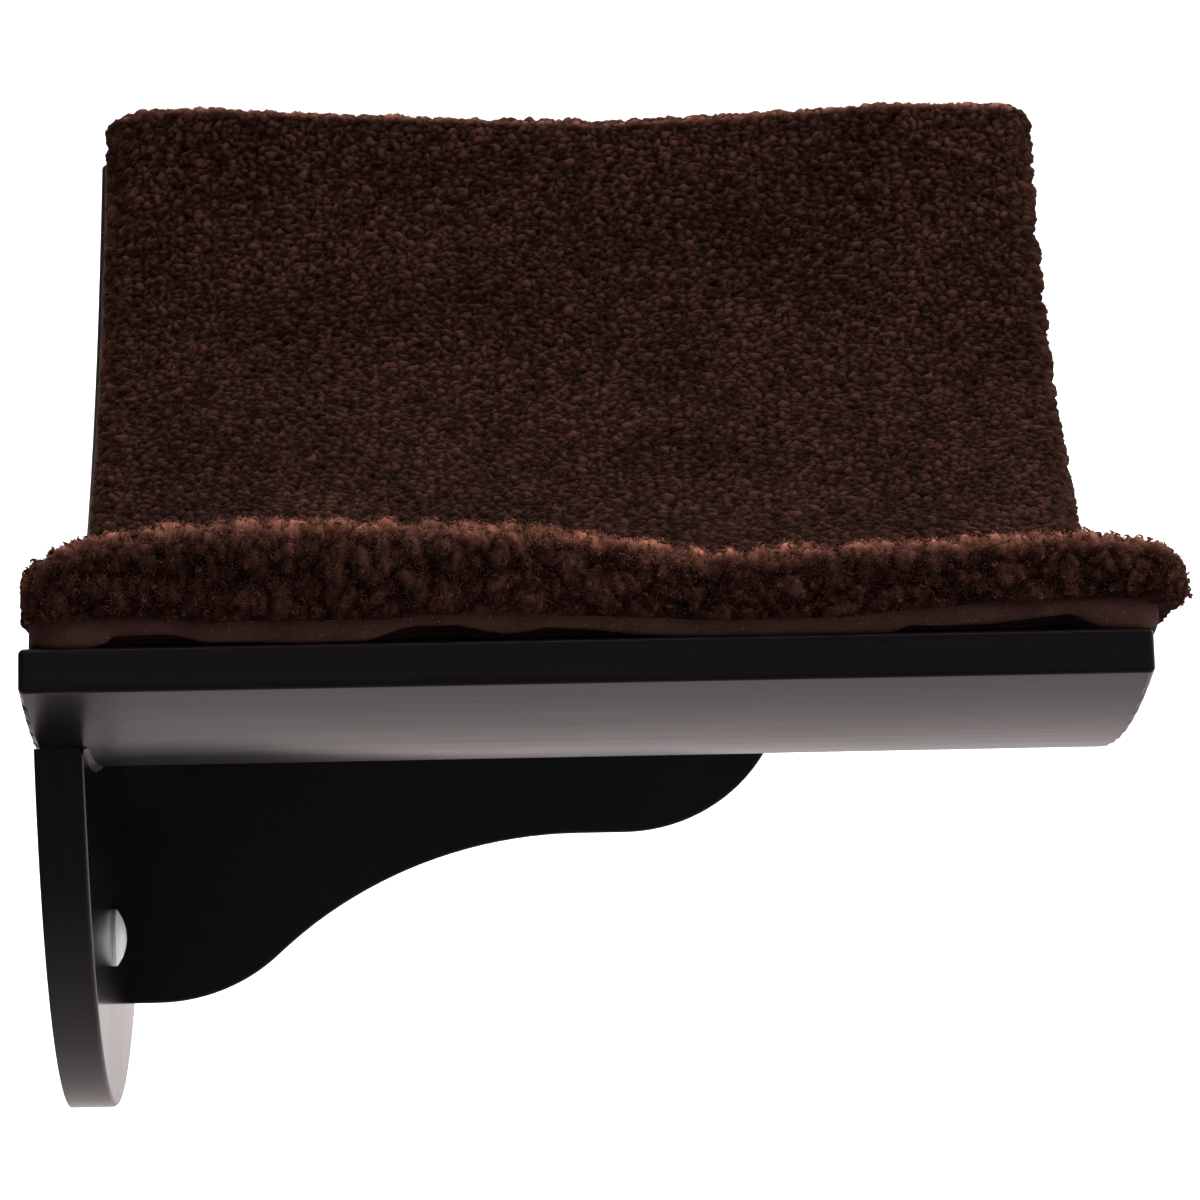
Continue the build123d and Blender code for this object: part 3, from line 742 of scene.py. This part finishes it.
stitches = grown(stitch_row, stitch_keys, seam, "pad_stitches", {
    "Pitch": 0.0032, "Stitch": 0.0025, "Rise": 0.00045, "Thread Radius": 0.00018, "Material": thread_brown})
bpy.data.objects.remove(seam)
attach(stitches, "pad")


# Foam
# A thin sheet of open-cell foam between the underside and the fleece, cut a little smaller than both and
# closed in by the suede band. It is out of sight in the finished pad.

foam_top = 0.0080
foam_inset = 0.0036
near_end_inset, near_end_reach = 0.006, 0.02
wall_side_inset, wall_side_reach = 0.0035, 0.012
material, nodes, surface = new_material("open_cell_foam")
cells = add_node(nodes, "ShaderNodeTexVoronoi", own_place(nodes), Scale=1400.0)
tone = colour_ramp(nodes, cells, (0.0, (0.4, 0.37, 0.28)), (1.0, (0.74, 0.7, 0.58)))
finished(nodes, surface, tone, 0.95, cells, 0.8, 0.0005)
arc_grid, depth_grid = laid_grid(foam_inset, 110, 60)
arc_grid = arc_grid + near_end_inset * np.exp(-((arc_grid + pad_half_arc) / near_end_reach) ** 2)
depth_grid = depth_grid - wall_side_inset * np.exp(-((depth_grid - pad_wall_y) / wall_side_reach) ** 2)
foam_piece = laid_slab("pad_foam", arc_grid, depth_grid, backing_top + turned_up(arc_grid, depth_grid), foam_top,
                       material)
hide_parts("foam_sheet")
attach(foam_piece, "pad")


# Side band
# A strip of the same suede, turned in along both edges and sewn round the pad between the fleece and the
# underside. It bulges between its seams and hangs in soft waves over the board's edge.

wall_side_set_in = 0.0006
band_wall_gap = 0.0014
least_lift = 0.0002
band_thickness = 0.0005
profile = [(-0.0016, 0.0034), (-0.0006, 0.0028), (0.0, 0.0026), (0.35, 0.0029), (0.8, 0.0038), (1.0, 0.0052),
           (0.85, 0.0066), (0.4, 0.0076), (0.0, 0.0080), (-0.0012, 0.0083), (-0.0036, 0.0081)]
turned_in = (0, 1, 9, 10)
lowest_step, steps_that_sag = 2, 8
sag_middle, most_down, most_up = 0.0008, 0.0023, 0.0015
near_end_width = 0.004
ring_step = 0.002
band_suede = suede_material("band_suede", 90.0, 0.9)
ring_arc, ring_depth = rounded_ring(pad_half_arc, pad_wall_y - wall_side_set_in, pad_front_y, pad_corner,
                                    ring_step)
ring_depth = ring_depth + laid_askew(ring_arc, ring_depth)
count = len(ring_arc)
following = np.stack([np.roll(line, -1) - np.roll(line, 1) for line in (ring_arc, ring_depth)], 1)
following /= np.linalg.norm(following, axis=1, keepdims=True)
out_arc, out_depth = -following[:, 1], following[:, 0]
outward = np.sign((out_arc * ring_arc).sum())
out_arc, out_depth = out_arc * outward, out_depth * outward
run = np.arange(count) / count * 2 * math.pi
ring_x, ring_y = np.cos(run), np.sin(run)
sag = 0.0014 * smooth_noise(8, 30, 0.22, ring_x, ring_y) + 0.0006 * smooth_noise(9, 20, 0.07, ring_x, ring_y)
bulge = 0.0010 + 0.0006 * smooth_noise(12, 24, 0.12, ring_x, ring_y)
near_end = np.exp(-((ring_arc + pad_half_arc) / near_end_width) ** 2)
waved = near_end_gap(ring_depth) - profile[lowest_step][1]
sag = np.clip((sag - sag_middle) * (1 - near_end), -most_down, most_up)
sag = sag + near_end * waved / (1 - lowest_step / steps_that_sag)
points = []
for step, (share, lift) in enumerate(profile):
    proud = np.full(count, share) if step in turned_in else share * bulge
    low_share = max(0.0, 1 - step / steps_that_sag)
    points.append(on_board(ring_arc + out_arc * proud, np.minimum(ring_depth + out_depth * proud, -band_wall_gap),
                           np.maximum(lift + sag * low_share, least_lift)))
band_points = np.stack(points, 1).reshape(-1, 3)
steps = len(profile)
faces = []
for i in range(count):
    j = (i + 1) % count
    faces += [[i * steps + k, j * steps + k, j * steps + k + 1, i * steps + k + 1] for k in range(steps - 1)]
band = new_piece("pad_side_band", band_points, faces, band_suede)
face_outwards(band)
wall = band.modifiers.new("cloth_thickness", "SOLIDIFY")
wall.thickness = band_thickness
wall.offset = -1
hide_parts("side_band")
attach(band, "pad")


# Sherpa pile
# The top of the pad: a deep curly polyester fleece, chocolate brown, rolled over its edges and puffed up
# along the near end. Small woolly nubs cover the top, and looser curls and stray fibres the edges.

fleece_low = foam_top
roll_width = 0.0070
rolled_turn = math.radians(158)
past_pad_end = 0.0012
fleece_half_arc = pad_half_arc + past_pad_end
fleece_wall_y, fleece_front_y = -0.0034, -0.2714
nub_height = 0.0018
grid_step = 0.00066
pile_wall_gap, fibre_wall_gap = 0.0004, 0.0003


def tuft_field(x, y, spacing, stretch, lie, seed):
    """Height of packed tufts, 0 in the valleys between them and 1 on top, with each tuft's own number."""
    dice = np.random.default_rng(seed)
    tile = 257
    table = dice.uniform(0, 1, (4, tile, tile))
    warp = 0.32 * spacing
    wx = x + warp * smooth_noise(seed + 1, 26, spacing * 1.7, x, y)
    wy = y + warp * smooth_noise(seed + 2, 26, spacing * 1.7, x, y)
    cell_x, cell_y = np.floor(wx / spacing).astype(int), np.floor(wy / spacing).astype(int)
    nearest, second = np.full_like(x, 9.0), np.full_like(x, 9.0)
    label = np.zeros_like(x)
    for dx in (-2, -1, 0, 1, 2):
        for dy in (-2, -1, 0, 1, 2):
            t = table[:, (cell_x + dx) % tile, (cell_y + dy) % tile]
            off_x = wx - (cell_x + dx + 0.5 + 0.9 * (t[0] - 0.5)) * spacing
            off_y = wy - (cell_y + dy + 0.5 + 0.9 * (t[1] - 0.5)) * spacing
            turn = lie + 1.6 * (t[2] - 0.5)
            u = (off_x * np.cos(turn) + off_y * np.sin(turn)) / stretch
            v = (off_y * np.cos(turn) - off_x * np.sin(turn)) * stretch
            far = np.hypot(u, v) / spacing / (0.8 + 0.4 * t[3])
            closer = far < nearest
            second = np.where(closer, nearest, np.minimum(second, far))
            label = np.where(closer, t[3], label)
            nearest = np.minimum(nearest, far)
    dome = np.clip(1 - (nearest / second) ** 1.6, 0, 1) ** 0.62 * (0.74 + 0.26 * label)
    merged = np.clip(0.32 + 0.42 * smooth_noise(seed + 3, 30, spacing * 2.2, x, y), 0.0, 0.62)
    return np.sqrt(dome ** 2 + 0.45 * merged ** 2 * (1 - dome) ** 2), label


core_arc, core_depth = fleece_half_arc - roll_width, (fleece_wall_y - fleece_front_y) / 2 - roll_width
skirt = roll_width * rolled_turn
middle_y = (fleece_wall_y + fleece_front_y) / 2
near_end_length, far_end_length, end_ease = 0.05, 0.07, 1.6
plain_height, plain_wave = 0.0206, 0.0007
near_end_puff = 0.0022
# The two ends as the photograph shows them: depths, and the fleece's top and foot there off the board.
top_marks = [-0.276, -0.265, -0.25, -0.236, -0.215, -0.184, -0.161, -0.137, -0.114, -0.09, -0.068, -0.038, -0.022,
             -0.010, -0.002]
near_top = [0.0208, 0.0214, 0.0236, 0.0228, 0.0219, 0.0212, 0.0202, 0.0257, 0.0281, 0.0295, 0.0303, 0.0299, 0.0279,
            0.0253, 0.0230]
foot_marks = [-0.272, -0.2642, -0.2524, -0.2407, -0.2289, -0.2172, -0.2054, -0.1937, -0.1702, -0.1521, -0.1366,
              -0.1286, -0.1145, -0.1051, -0.0973, -0.0856, -0.0761, -0.0534, -0.0456, -0.0362, -0.0221, -0.0073,
              -0.0016]
near_foot = [0.0068, 0.0067, 0.0064, 0.0064, 0.0059, 0.0049, 0.0040, 0.0027, 0.0026, 0.0033, 0.0039,
             0.0043, 0.0056, 0.0049, 0.0052, 0.0040, 0.0042, 0.0043, 0.0039, 0.0049, 0.0059, 0.0056,
             0.0064]
far_marks = [-0.276, -0.26, -0.235, -0.195, -0.15, -0.12, -0.09, -0.06, -0.035, -0.015, -0.002]
far_top = [0.0222, 0.0226, 0.0232, 0.0204, 0.0181, 0.0200, 0.0221, 0.0240, 0.0262, 0.0264, 0.0235]


def fleece_grid(step):
    """Even grid over the top and the rolled sides, laid flat: its two axes."""
    return (np.linspace(-core_arc - skirt, core_arc + skirt, round(2 * (core_arc + skirt) / step)),
            np.linspace(core_depth + skirt, -core_depth - skirt, round(2 * (core_depth + skirt) / step)))


def fleece_form(flat_x, flat_y):
    """Places of grid points on the smooth cushion under the curls, with how near the edge each of them is."""
    inner_x, inner_y = np.clip(flat_x, -core_arc, core_arc), np.clip(flat_y, -core_depth, core_depth)
    past_x, past_y = flat_x - inner_x, flat_y - inner_y
    past = np.maximum(np.abs(past_x), np.abs(past_y))
    length = np.maximum(np.hypot(past_x, past_y), 1e-9)
    way_x, way_y = past_x / length, past_y / length
    turned = past / roll_width
    depth = inner_y + middle_y + way_y * roll_width
    near = np.clip(1 - (inner_x + core_arc) / near_end_length, 0, 1) ** end_ease
    far_end = np.clip((inner_x - core_arc + far_end_length) / far_end_length, 0, 1) ** end_ease
    plain_top = plain_height + plain_wave * smooth_noise(41, 26, 0.085, inner_x, inner_y)
    fleece_top = plain_top + near * (np.interp(depth, top_marks, near_top) - plain_top)
    fleece_top = fleece_top + far_end * (np.interp(depth, far_marks, far_top) - fleece_top) - nub_height
    fleece_foot = fleece_low + near * (np.interp(depth, foot_marks, near_foot) - fleece_low)
    half_height = (fleece_top - fleece_foot) / 2
    reach = roll_width + near_end_puff * near
    out_share = np.clip(np.sin(turned), 0, 1) ** np.where(turned > math.pi / 2, 1 - 0.68 * near, 1 - 0.4 * near)
    lift = fleece_foot + half_height * (1 + np.cos(turned))
    arc = inner_x + way_x * reach * out_share
    y = inner_y + way_y * reach * out_share + middle_y
    overhang = np.interp(inner_x / core_arc, [-1.0, -0.96, -0.76, -0.1, 1.0],
                         [-0.0048, -0.0042, -0.0022, -0.0036, -0.0042])
    y = y + laid_askew(arc, y) + overhang * np.clip(0.5 - inner_y / core_depth * 0.5, 0, 1) ** 2
    return on_board(arc, y, lift), past, near


def closing_faces(rows, columns):
    """Long faces that close the grid's open underside from its front side to its wall side, and at its ends."""
    index = np.arange(rows * columns).reshape(rows, columns)
    strips = [[index[i, 0], index[i + 1, 0], index[i + 1, -1], index[i, -1]] for i in range(rows - 1)]
    return [*strips, list(index[0, :]), list(index[-1, ::-1])]


def swelled_by_cloth(step, most):
    """Swell a coarse copy of the cushion as cloth held at its sewn rim; returns its axes and how it moved."""
    coarse_x, coarse_y = fleece_grid(step)
    points, past, _ = fleece_form(*np.meshgrid(coarse_x, coarse_y, indexing="ij"))
    rows, columns = past.shape
    cushion = new_piece("cushion_trial", points.reshape(-1, 3),
                        [*grid_faces(rows, columns), *closing_faces(rows, columns)], band_suede)
    face_outwards(cushion)
    sewn = cushion.vertex_groups.new(name="sewn")
    sewn.add(np.flatnonzero((past > 0.8 * skirt).ravel()).tolist(), 1.0, "REPLACE")
    cloth = cushion.modifiers.new("swell", "CLOTH")
    cloth.settings.quality = 5
    cloth.settings.mass = 0.2
    cloth.settings.tension_stiffness = cloth.settings.compression_stiffness = 12
    cloth.settings.use_pressure = True
    cloth.settings.uniform_pressure_force = 4
    cloth.settings.effector_weights.gravity = 0
    cloth.settings.vertex_group_mass = "sewn"
    cloth.point_cache.frame_start, cloth.point_cache.frame_end = 1, 20
    for frame_number in range(1, cloth.point_cache.frame_end + 1):
        bpy.context.scene.frame_set(frame_number)
    moved = np.zeros(rows * columns * 3, np.float32)
    shape = cushion.evaluated_get(bpy.context.evaluated_depsgraph_get()).to_mesh()
    shape.vertices.foreach_get("co", moved)
    bpy.context.scene.frame_set(1)
    bpy.data.objects.remove(cushion)
    shift = moved.reshape(rows, columns, 3) - points
    length = np.linalg.norm(shift, axis=2, keepdims=True)
    return coarse_x, coarse_y, shift * (most * np.tanh(length / most) / np.maximum(length, 1e-9))


def between(axis_x, axis_y, values, flat_x, flat_y):
    """Values of a coarse even grid, read between its points."""
    at_x = np.interp(flat_x, axis_x, np.arange(len(axis_x)))
    at_y = np.interp(-flat_y, -axis_y, np.arange(len(axis_y)))
    i, j = np.minimum(at_x.astype(int), len(axis_x) - 2), np.minimum(at_y.astype(int), len(axis_y) - 2)
    u, v = (at_x - i)[..., None], (at_y - j)[..., None]
    return ((1 - u) * (1 - v) * values[i, j] + u * (1 - v) * values[i + 1, j]
            + (1 - u) * v * values[i, j + 1] + u * v * values[i + 1, j + 1])


cloth_step, most_swelled = 0.005, 0.0016
small_tuft, large_tuft = 0.0026, 0.0058
small_rise, large_rise, fine_rise, sunk = 0.0019, 0.0029, 0.00016, 0.0008
grid_x, grid_y = fleece_grid(grid_step)
flat_x, flat_y = np.meshgrid(grid_x, grid_y, indexing="ij")
bent, past, near = fleece_form(flat_x, flat_y)
bent = bent + between(*swelled_by_cloth(cloth_step, most_swelled), flat_x, flat_y)

edge = np.maximum(np.clip(past / skirt * 2.4, 0, 1), np.clip(near * 1.4 - 0.35, 0, 1))
foot = np.clip((skirt - past) / ((0.25 - 0.13 * near) * skirt), 0, 1)
lay = 0.8 * smooth_noise(57, 26, 0.07, flat_x, flat_y)
small, small_label = tuft_field(flat_x, flat_y, small_tuft, 1.28, lay, 71)
large, large_label = tuft_field(flat_x, flat_y, large_tuft, 0.76, 0.4 * lay, 83)
fine = smooth_noise(91, 40, 0.0014, flat_x, flat_y)
rise = (small * (small_rise - 0.0006 * edge) + large * edge * large_rise + fine_rise * fine) * foot - sunk
along = np.gradient(bent, axis=0)
across = np.gradient(bent, axis=1)
normals = np.cross(across, along)
normals /= np.maximum(np.linalg.norm(normals, axis=2, keepdims=True), 1e-12)
normals *= np.sign(normals[len(grid_x) // 2, len(grid_y) // 2, 2])
bent = bent + normals * rise[..., None]
bent[..., 1] = np.minimum(bent[..., 1], -pile_wall_gap)
rows, columns = flat_x.shape
# Tuft height, which the fleece's colour uses as painted shade: dark in the valleys and down at the roots, light on top.
hollow = small * (1 - 0.5 * edge) + large * 0.5 * edge
lock_height_shade = 0.02 + 0.72 * np.clip(hollow, 0, 1)
lock_tint = small_label * (1 - 0.5 * edge) + large_label * 0.5 * edge
turned = past / roll_width
at_ends = np.abs(flat_x) - core_arc > np.abs(flat_y) - core_depth
crest = np.where(at_ends, 0.5, 1.25)
# The crest of the rolled edge, which is painted lighter as rim light; the fuzz also grows thicker there.
rim_lit_crest = np.clip(1 - np.abs(turned - crest) / 0.65, 0, 1) * np.where(at_ends, 1.0, 0.4) * np.clip(turned / 0.3, 0, 1)
at_far_end = at_ends & (flat_x > 0)


def fleece_material():
    """Curly fleece: painted shade between the locks and down at their roots, painted light on their ends, on the edge
    fibres and along the lit crest of the rolled edge, a few painted glints, each lock a little different, fibrous bump.
    """
    material, nodes, surface = new_material("sherpa_fleece")
    height_shade, tint, painted_light, rim_lit_crest, hollow = (
        add_node(nodes, "ShaderNodeAttribute", attribute_name=name).outputs["Fac"]
        for name in ("height_shade", "tint", "painted_light", "rim_lit_crest", "hollow"))
    place = own_place(nodes)
    fibre = add_node(nodes, "ShaderNodeTexNoise", place, Scale=1700.0, Detail=3.0, Roughness=0.65, Distortion=1.2)
    cloud = add_node(nodes, "ShaderNodeTexNoise", place, Scale=28.0, Detail=3.0)
    clumps = add_node(nodes, "ShaderNodeTexNoise", place, Scale=750.0, Detail=2.0, Roughness=0.6, Distortion=0.8)

    # Painted shade: each lock darker down at its root and lighter at its end, from its stored height, mixed with the
    # fibres' own streaks.
    frizz_and_root_shade = maths(nodes, "MULTIPLY_ADD", fibre, 0.5, maths(nodes, "ADD", height_shade, -0.25))
    tone = colour_ramp(nodes, frizz_and_root_shade, (0.05, (0.0040, 0.0016, 0.0012)), (0.40, (0.0160, 0.0060, 0.0041)),
                       (0.75, (0.0370, 0.0145, 0.0100)), (1.0, (0.0660, 0.0275, 0.0195)))
    vary = add_node(nodes, "ShaderNodeMapRange", tint, To_Min=0.75, To_Max=1.28)
    shade = add_node(nodes, "ShaderNodeMapRange", cloud, From_Min=0.3, From_Max=0.7, To_Min=0.72, To_Max=1.22)
    # Painted shade in the valleys between the locks.
    crevice_shade = add_node(nodes, "ShaderNodeMapRange", hollow, From_Min=0.15, From_Max=0.85, To_Min=0.26, To_Max=1.6)
    # Painted light: the edge fibres, and most of all the crest of the rolled edge, many times lighter, as if lit from
    # behind.
    rim_light_gain = maths(nodes, "MULTIPLY_ADD", painted_light, maths(nodes, "MULTIPLY_ADD", rim_lit_crest, 11.0, 2.6), 1.0)
    with_rim_light = maths(nodes, "MULTIPLY", maths(nodes, "MULTIPLY", vary, shade), rim_light_gain)
    with_hollow_shade = maths(nodes, "MULTIPLY", with_rim_light, crevice_shade)
    with_painted_light_and_shade = add_node(nodes, "ShaderNodeVectorMath", tone, operation="SCALE", Scale=with_hollow_shade)

    # Painted glints: the ends of a few edge fibres turned pale as highlights.
    few_locks = add_node(nodes, "ShaderNodeMapRange", tint, From_Min=0.955, From_Max=0.970)
    glint_tips = add_node(nodes, "ShaderNodeMapRange", maths(nodes, "MULTIPLY", painted_light, height_shade),
                          From_Min=0.60, From_Max=0.85)
    glints = maths(nodes, "MULTIPLY", few_locks, glint_tips)
    coloured = blended(nodes, glints, with_painted_light_and_shade, (0.42, 0.30, 0.26, 1))
    woolly = maths(nodes, "MULTIPLY_ADD", clumps, 1.6, fibre)
    finished(nodes, surface, coloured, 0.7, woolly, 0.9, 0.0005, Specular_IOR_Level=0.02, Sheen_Weight=0.02,
             Sheen_Roughness=0.4, Sheen_Tint=(0.9, 0.42, 0.3, 1))
    return material


def planted_over(nodes, given, out, lock, lean_low, lean_high, size_low, size_high):
    """Plant one lock over the surface by its spacing, where it is wanted, and give each its own turn and size."""
    wanted = add_node(nodes, "GeometryNodeInputNamedAttribute", data_type="FLOAT", Name=given["Where"])
    spread = add_node(nodes, "GeometryNodeDistributePointsOnFaces", distribute_method="POISSON",
                      Mesh=given["Geometry"], Distance_Min=given["Spacing"], Density_Max=4000000.0,
                      Density_Factor=wanted, Seed=given["Seed"])
    combed = add_node(nodes, "GeometryNodeInputNamedAttribute", data_type="FLOAT", Name="lay")
    around = add_node(nodes, "ShaderNodeCombineXYZ", Z=combed)
    laid = add_node(nodes, "FunctionNodeRotateRotation", spread.outputs["Rotation"], around, rotation_space="LOCAL")
    turn = add_node(nodes, "FunctionNodeRandomValue", lean_low, lean_high, data_type="FLOAT_VECTOR",
                    Seed=given["Seed"])
    stand = add_node(nodes, "FunctionNodeRotateRotation", laid, turn, rotation_space="LOCAL")
    size = add_node(nodes, "FunctionNodeRandomValue", size_low, size_high, data_type="FLOAT_VECTOR")
    planted = add_node(nodes, "GeometryNodeInstanceOnPoints", Points=spread, Instance=lock, Rotation=stand, Scale=size)
    pick = add_node(nodes, "FunctionNodeRandomValue", data_type="FLOAT")
    tinted = add_node(nodes, "GeometryNodeStoreNamedAttribute", data_type="FLOAT", domain="INSTANCE",
                      Geometry=planted, Name="tint", Value=pick.outputs[1])
    plain = add_node(nodes, "GeometryNodeRealizeInstances", tinted)
    tangle = add_node(nodes, "ShaderNodeTexNoise", Scale=420.0, Detail=2.0, Roughness=0.7)
    shift = add_node(nodes, "ShaderNodeVectorMath", tangle.outputs["Color"], (0.5, 0.5, 0.5), operation="SUBTRACT")
    pull = add_node(nodes, "ShaderNodeVectorMath", shift, operation="SCALE", Scale=given["Tangle"])
    tangled = add_node(nodes, "GeometryNodeSetPosition", Geometry=plain, Offset=pull)
    # Each thread's share of painted light, which the fleece's colour turns into lighter fibres and glints.
    painted_light_marked = add_node(nodes, "GeometryNodeStoreNamedAttribute", data_type="FLOAT", domain="POINT",
                        Geometry=tangled, Name="painted_light", Value=given["Looseness"])
    feed(out, add_node(nodes, "GeometryNodeSetMaterial", Geometry=painted_light_marked, Material=given["Material"]))


def swept_thread(nodes, given, line, thickness_stops, tip_low):
    """Round thread along a line, thick and thin by its length, with its height stored for the painted shade that
    darkens it at its root and lightens it at its end.
    """
    taper = add_node(nodes, "ShaderNodeFloatCurve", Value=nodes.new("GeometryNodeSplineParameter").outputs["Factor"])
    points = taper.mapping.curves[0].points
    points[0].location, points[1].location = thickness_stops[0], thickness_stops[-1]
    for stop in thickness_stops[1:-1]:
        points.new(*stop)
    ring = add_node(nodes, "GeometryNodeCurvePrimitiveCircle", Resolution=given["Sides"], Radius=given["Thickness"])
    thread = add_node(nodes, "GeometryNodeCurveToMesh", Curve=line, Profile_Curve=ring, Scale=taper, Fill_Caps=True)
    up = add_node(nodes, "ShaderNodeSeparateXYZ", nodes.new("GeometryNodeInputPosition"))
    top = maths(nodes, "ADD", given["Height"], given["Thickness"])
    share = add_node(nodes, "ShaderNodeMapRange", up.outputs["Z"], From_Max=top, To_Min=tip_low, To_Max=1.0)
    marked = add_node(nodes, "GeometryNodeStoreNamedAttribute", data_type="FLOAT", domain="POINT",
                      Geometry=thread, Name="height_shade", Value=share)
    return add_node(nodes, "GeometryNodeSetShadeSmooth", marked)


def curl_tree():
    """Loose curls: coiled threads that narrow towards their end, at any turn."""
    tree, keys, given, out = tree_with(
        "loose_curls", Spacing="Float", Length="Float", Height="Float", Thickness="Float", Turns="Float",
        Where="String", Sides="Int", Steps="Int", Seed="Int", Tangle="Float", Looseness="Float", Material="Material")
    nodes = tree.nodes
    narrow = maths(nodes, "MULTIPLY", given["Length"], 0.4)
    coil = add_node(nodes, "GeometryNodeCurveSpiral", Resolution=given["Steps"], Rotations=given["Turns"],
                    Start_Radius=given["Length"], End_Radius=narrow, Height=given["Height"])
    lock = swept_thread(nodes, given, coil, [(0, 0.8), (0.4, 1.0), (1, 0.3)], 0.2)
    planted_over(nodes, given, out, lock, (-0.8, -0.8, -3.1), (0.8, 0.8, 3.1), (0.7, 0.7, 0.6), (1.3, 1.3, 1.4))
    return tree, keys


def point_values(piece, name, values):
    """Store one number for each point of a piece."""
    attribute = piece.data.attributes.new(name, "FLOAT", "POINT")
    attribute.data.foreach_set("value", np.asarray(values, np.float32).ravel())


fleece = fleece_material()
pile = new_piece("sherpa_pile", bent.reshape(-1, 3), [*grid_faces(rows, columns), *closing_faces(rows, columns)],
                 fleece)
near_face = near * (flat_x < -core_arc + 0.004)
# Tufts' height, for their painted shade, and each tuft's random tone.
point_values(pile, "height_shade", lock_height_shade)
point_values(pile, "tint", lock_tint)
point_values(pile, "lay", lay)
near_share = np.clip(near_face * 1.5, 0, 1)
# Painted light: how much lighter the near face and the crests of the rolled edges are painted, most at the near end.
point_values(pile, "painted_light", near_share * (0.10 + 0.36 * rim_lit_crest) + (0.18 + 0.24 * at_far_end) * rim_lit_crest)
point_values(pile, "rim_lit_crest", rim_lit_crest * (0.5 + 0.5 * np.maximum(near_share, 0.6 * at_far_end)))
point_values(pile, "hollow", hollow)
point_values(pile, "on_top", (1 - 0.65 * edge) * foot)
point_values(pile, "on_edge", np.clip(edge * 1.5, 0, 1) * foot * near_share)
point_values(pile, "fuzzy", np.clip(0.05 * edge + 0.28 * rim_lit_crest + 0.85 * near_share, 0, 1) * foot)
loose_curls, curl_keys = curl_tree()
short_fibres = grown(loose_curls, curl_keys, pile, "short_fibres", {
    "Spacing": 0.0020, "Length": 0.0008, "Height": 0.0009, "Thickness": 0.00008, "Turns": 0.4, "Where": "on_top",
    "Sides": 3, "Steps": 2, "Seed": 6, "Tangle": 0.0025, "Looseness": 0.3, "Material": fleece})
curls = grown(loose_curls, curl_keys, pile, "curls", {
    "Spacing": 0.0034, "Length": 0.0008, "Height": 0.0010, "Thickness": 0.00030, "Turns": 1.0, "Where": "on_edge",
    "Sides": 5, "Steps": 5, "Seed": 4, "Tangle": 0.0012, "Looseness": 0.4, "Material": fleece})
fibres = grown(loose_curls, curl_keys, pile, "fibres", {
    "Spacing": 0.00052, "Length": 0.0005, "Height": 0.0008, "Thickness": 0.00009, "Turns": 0.45, "Where": "fuzzy",
    "Sides": 3, "Steps": 2, "Seed": 5, "Tangle": 0.0018, "Looseness": 1.0, "Material": fleece})
pile = joined("sherpa_pile", [pile, short_fibres, curls, fibres])
places = np.zeros(len(pile.data.vertices) * 3, np.float32)
pile.data.vertices.foreach_get("co", places)
places[1::3] = np.minimum(places[1::3], -fibre_wall_gap)
pile.data.vertices.foreach_set("co", places)
pile.data.update()
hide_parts("fleece_pile")
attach(pile, "pad")
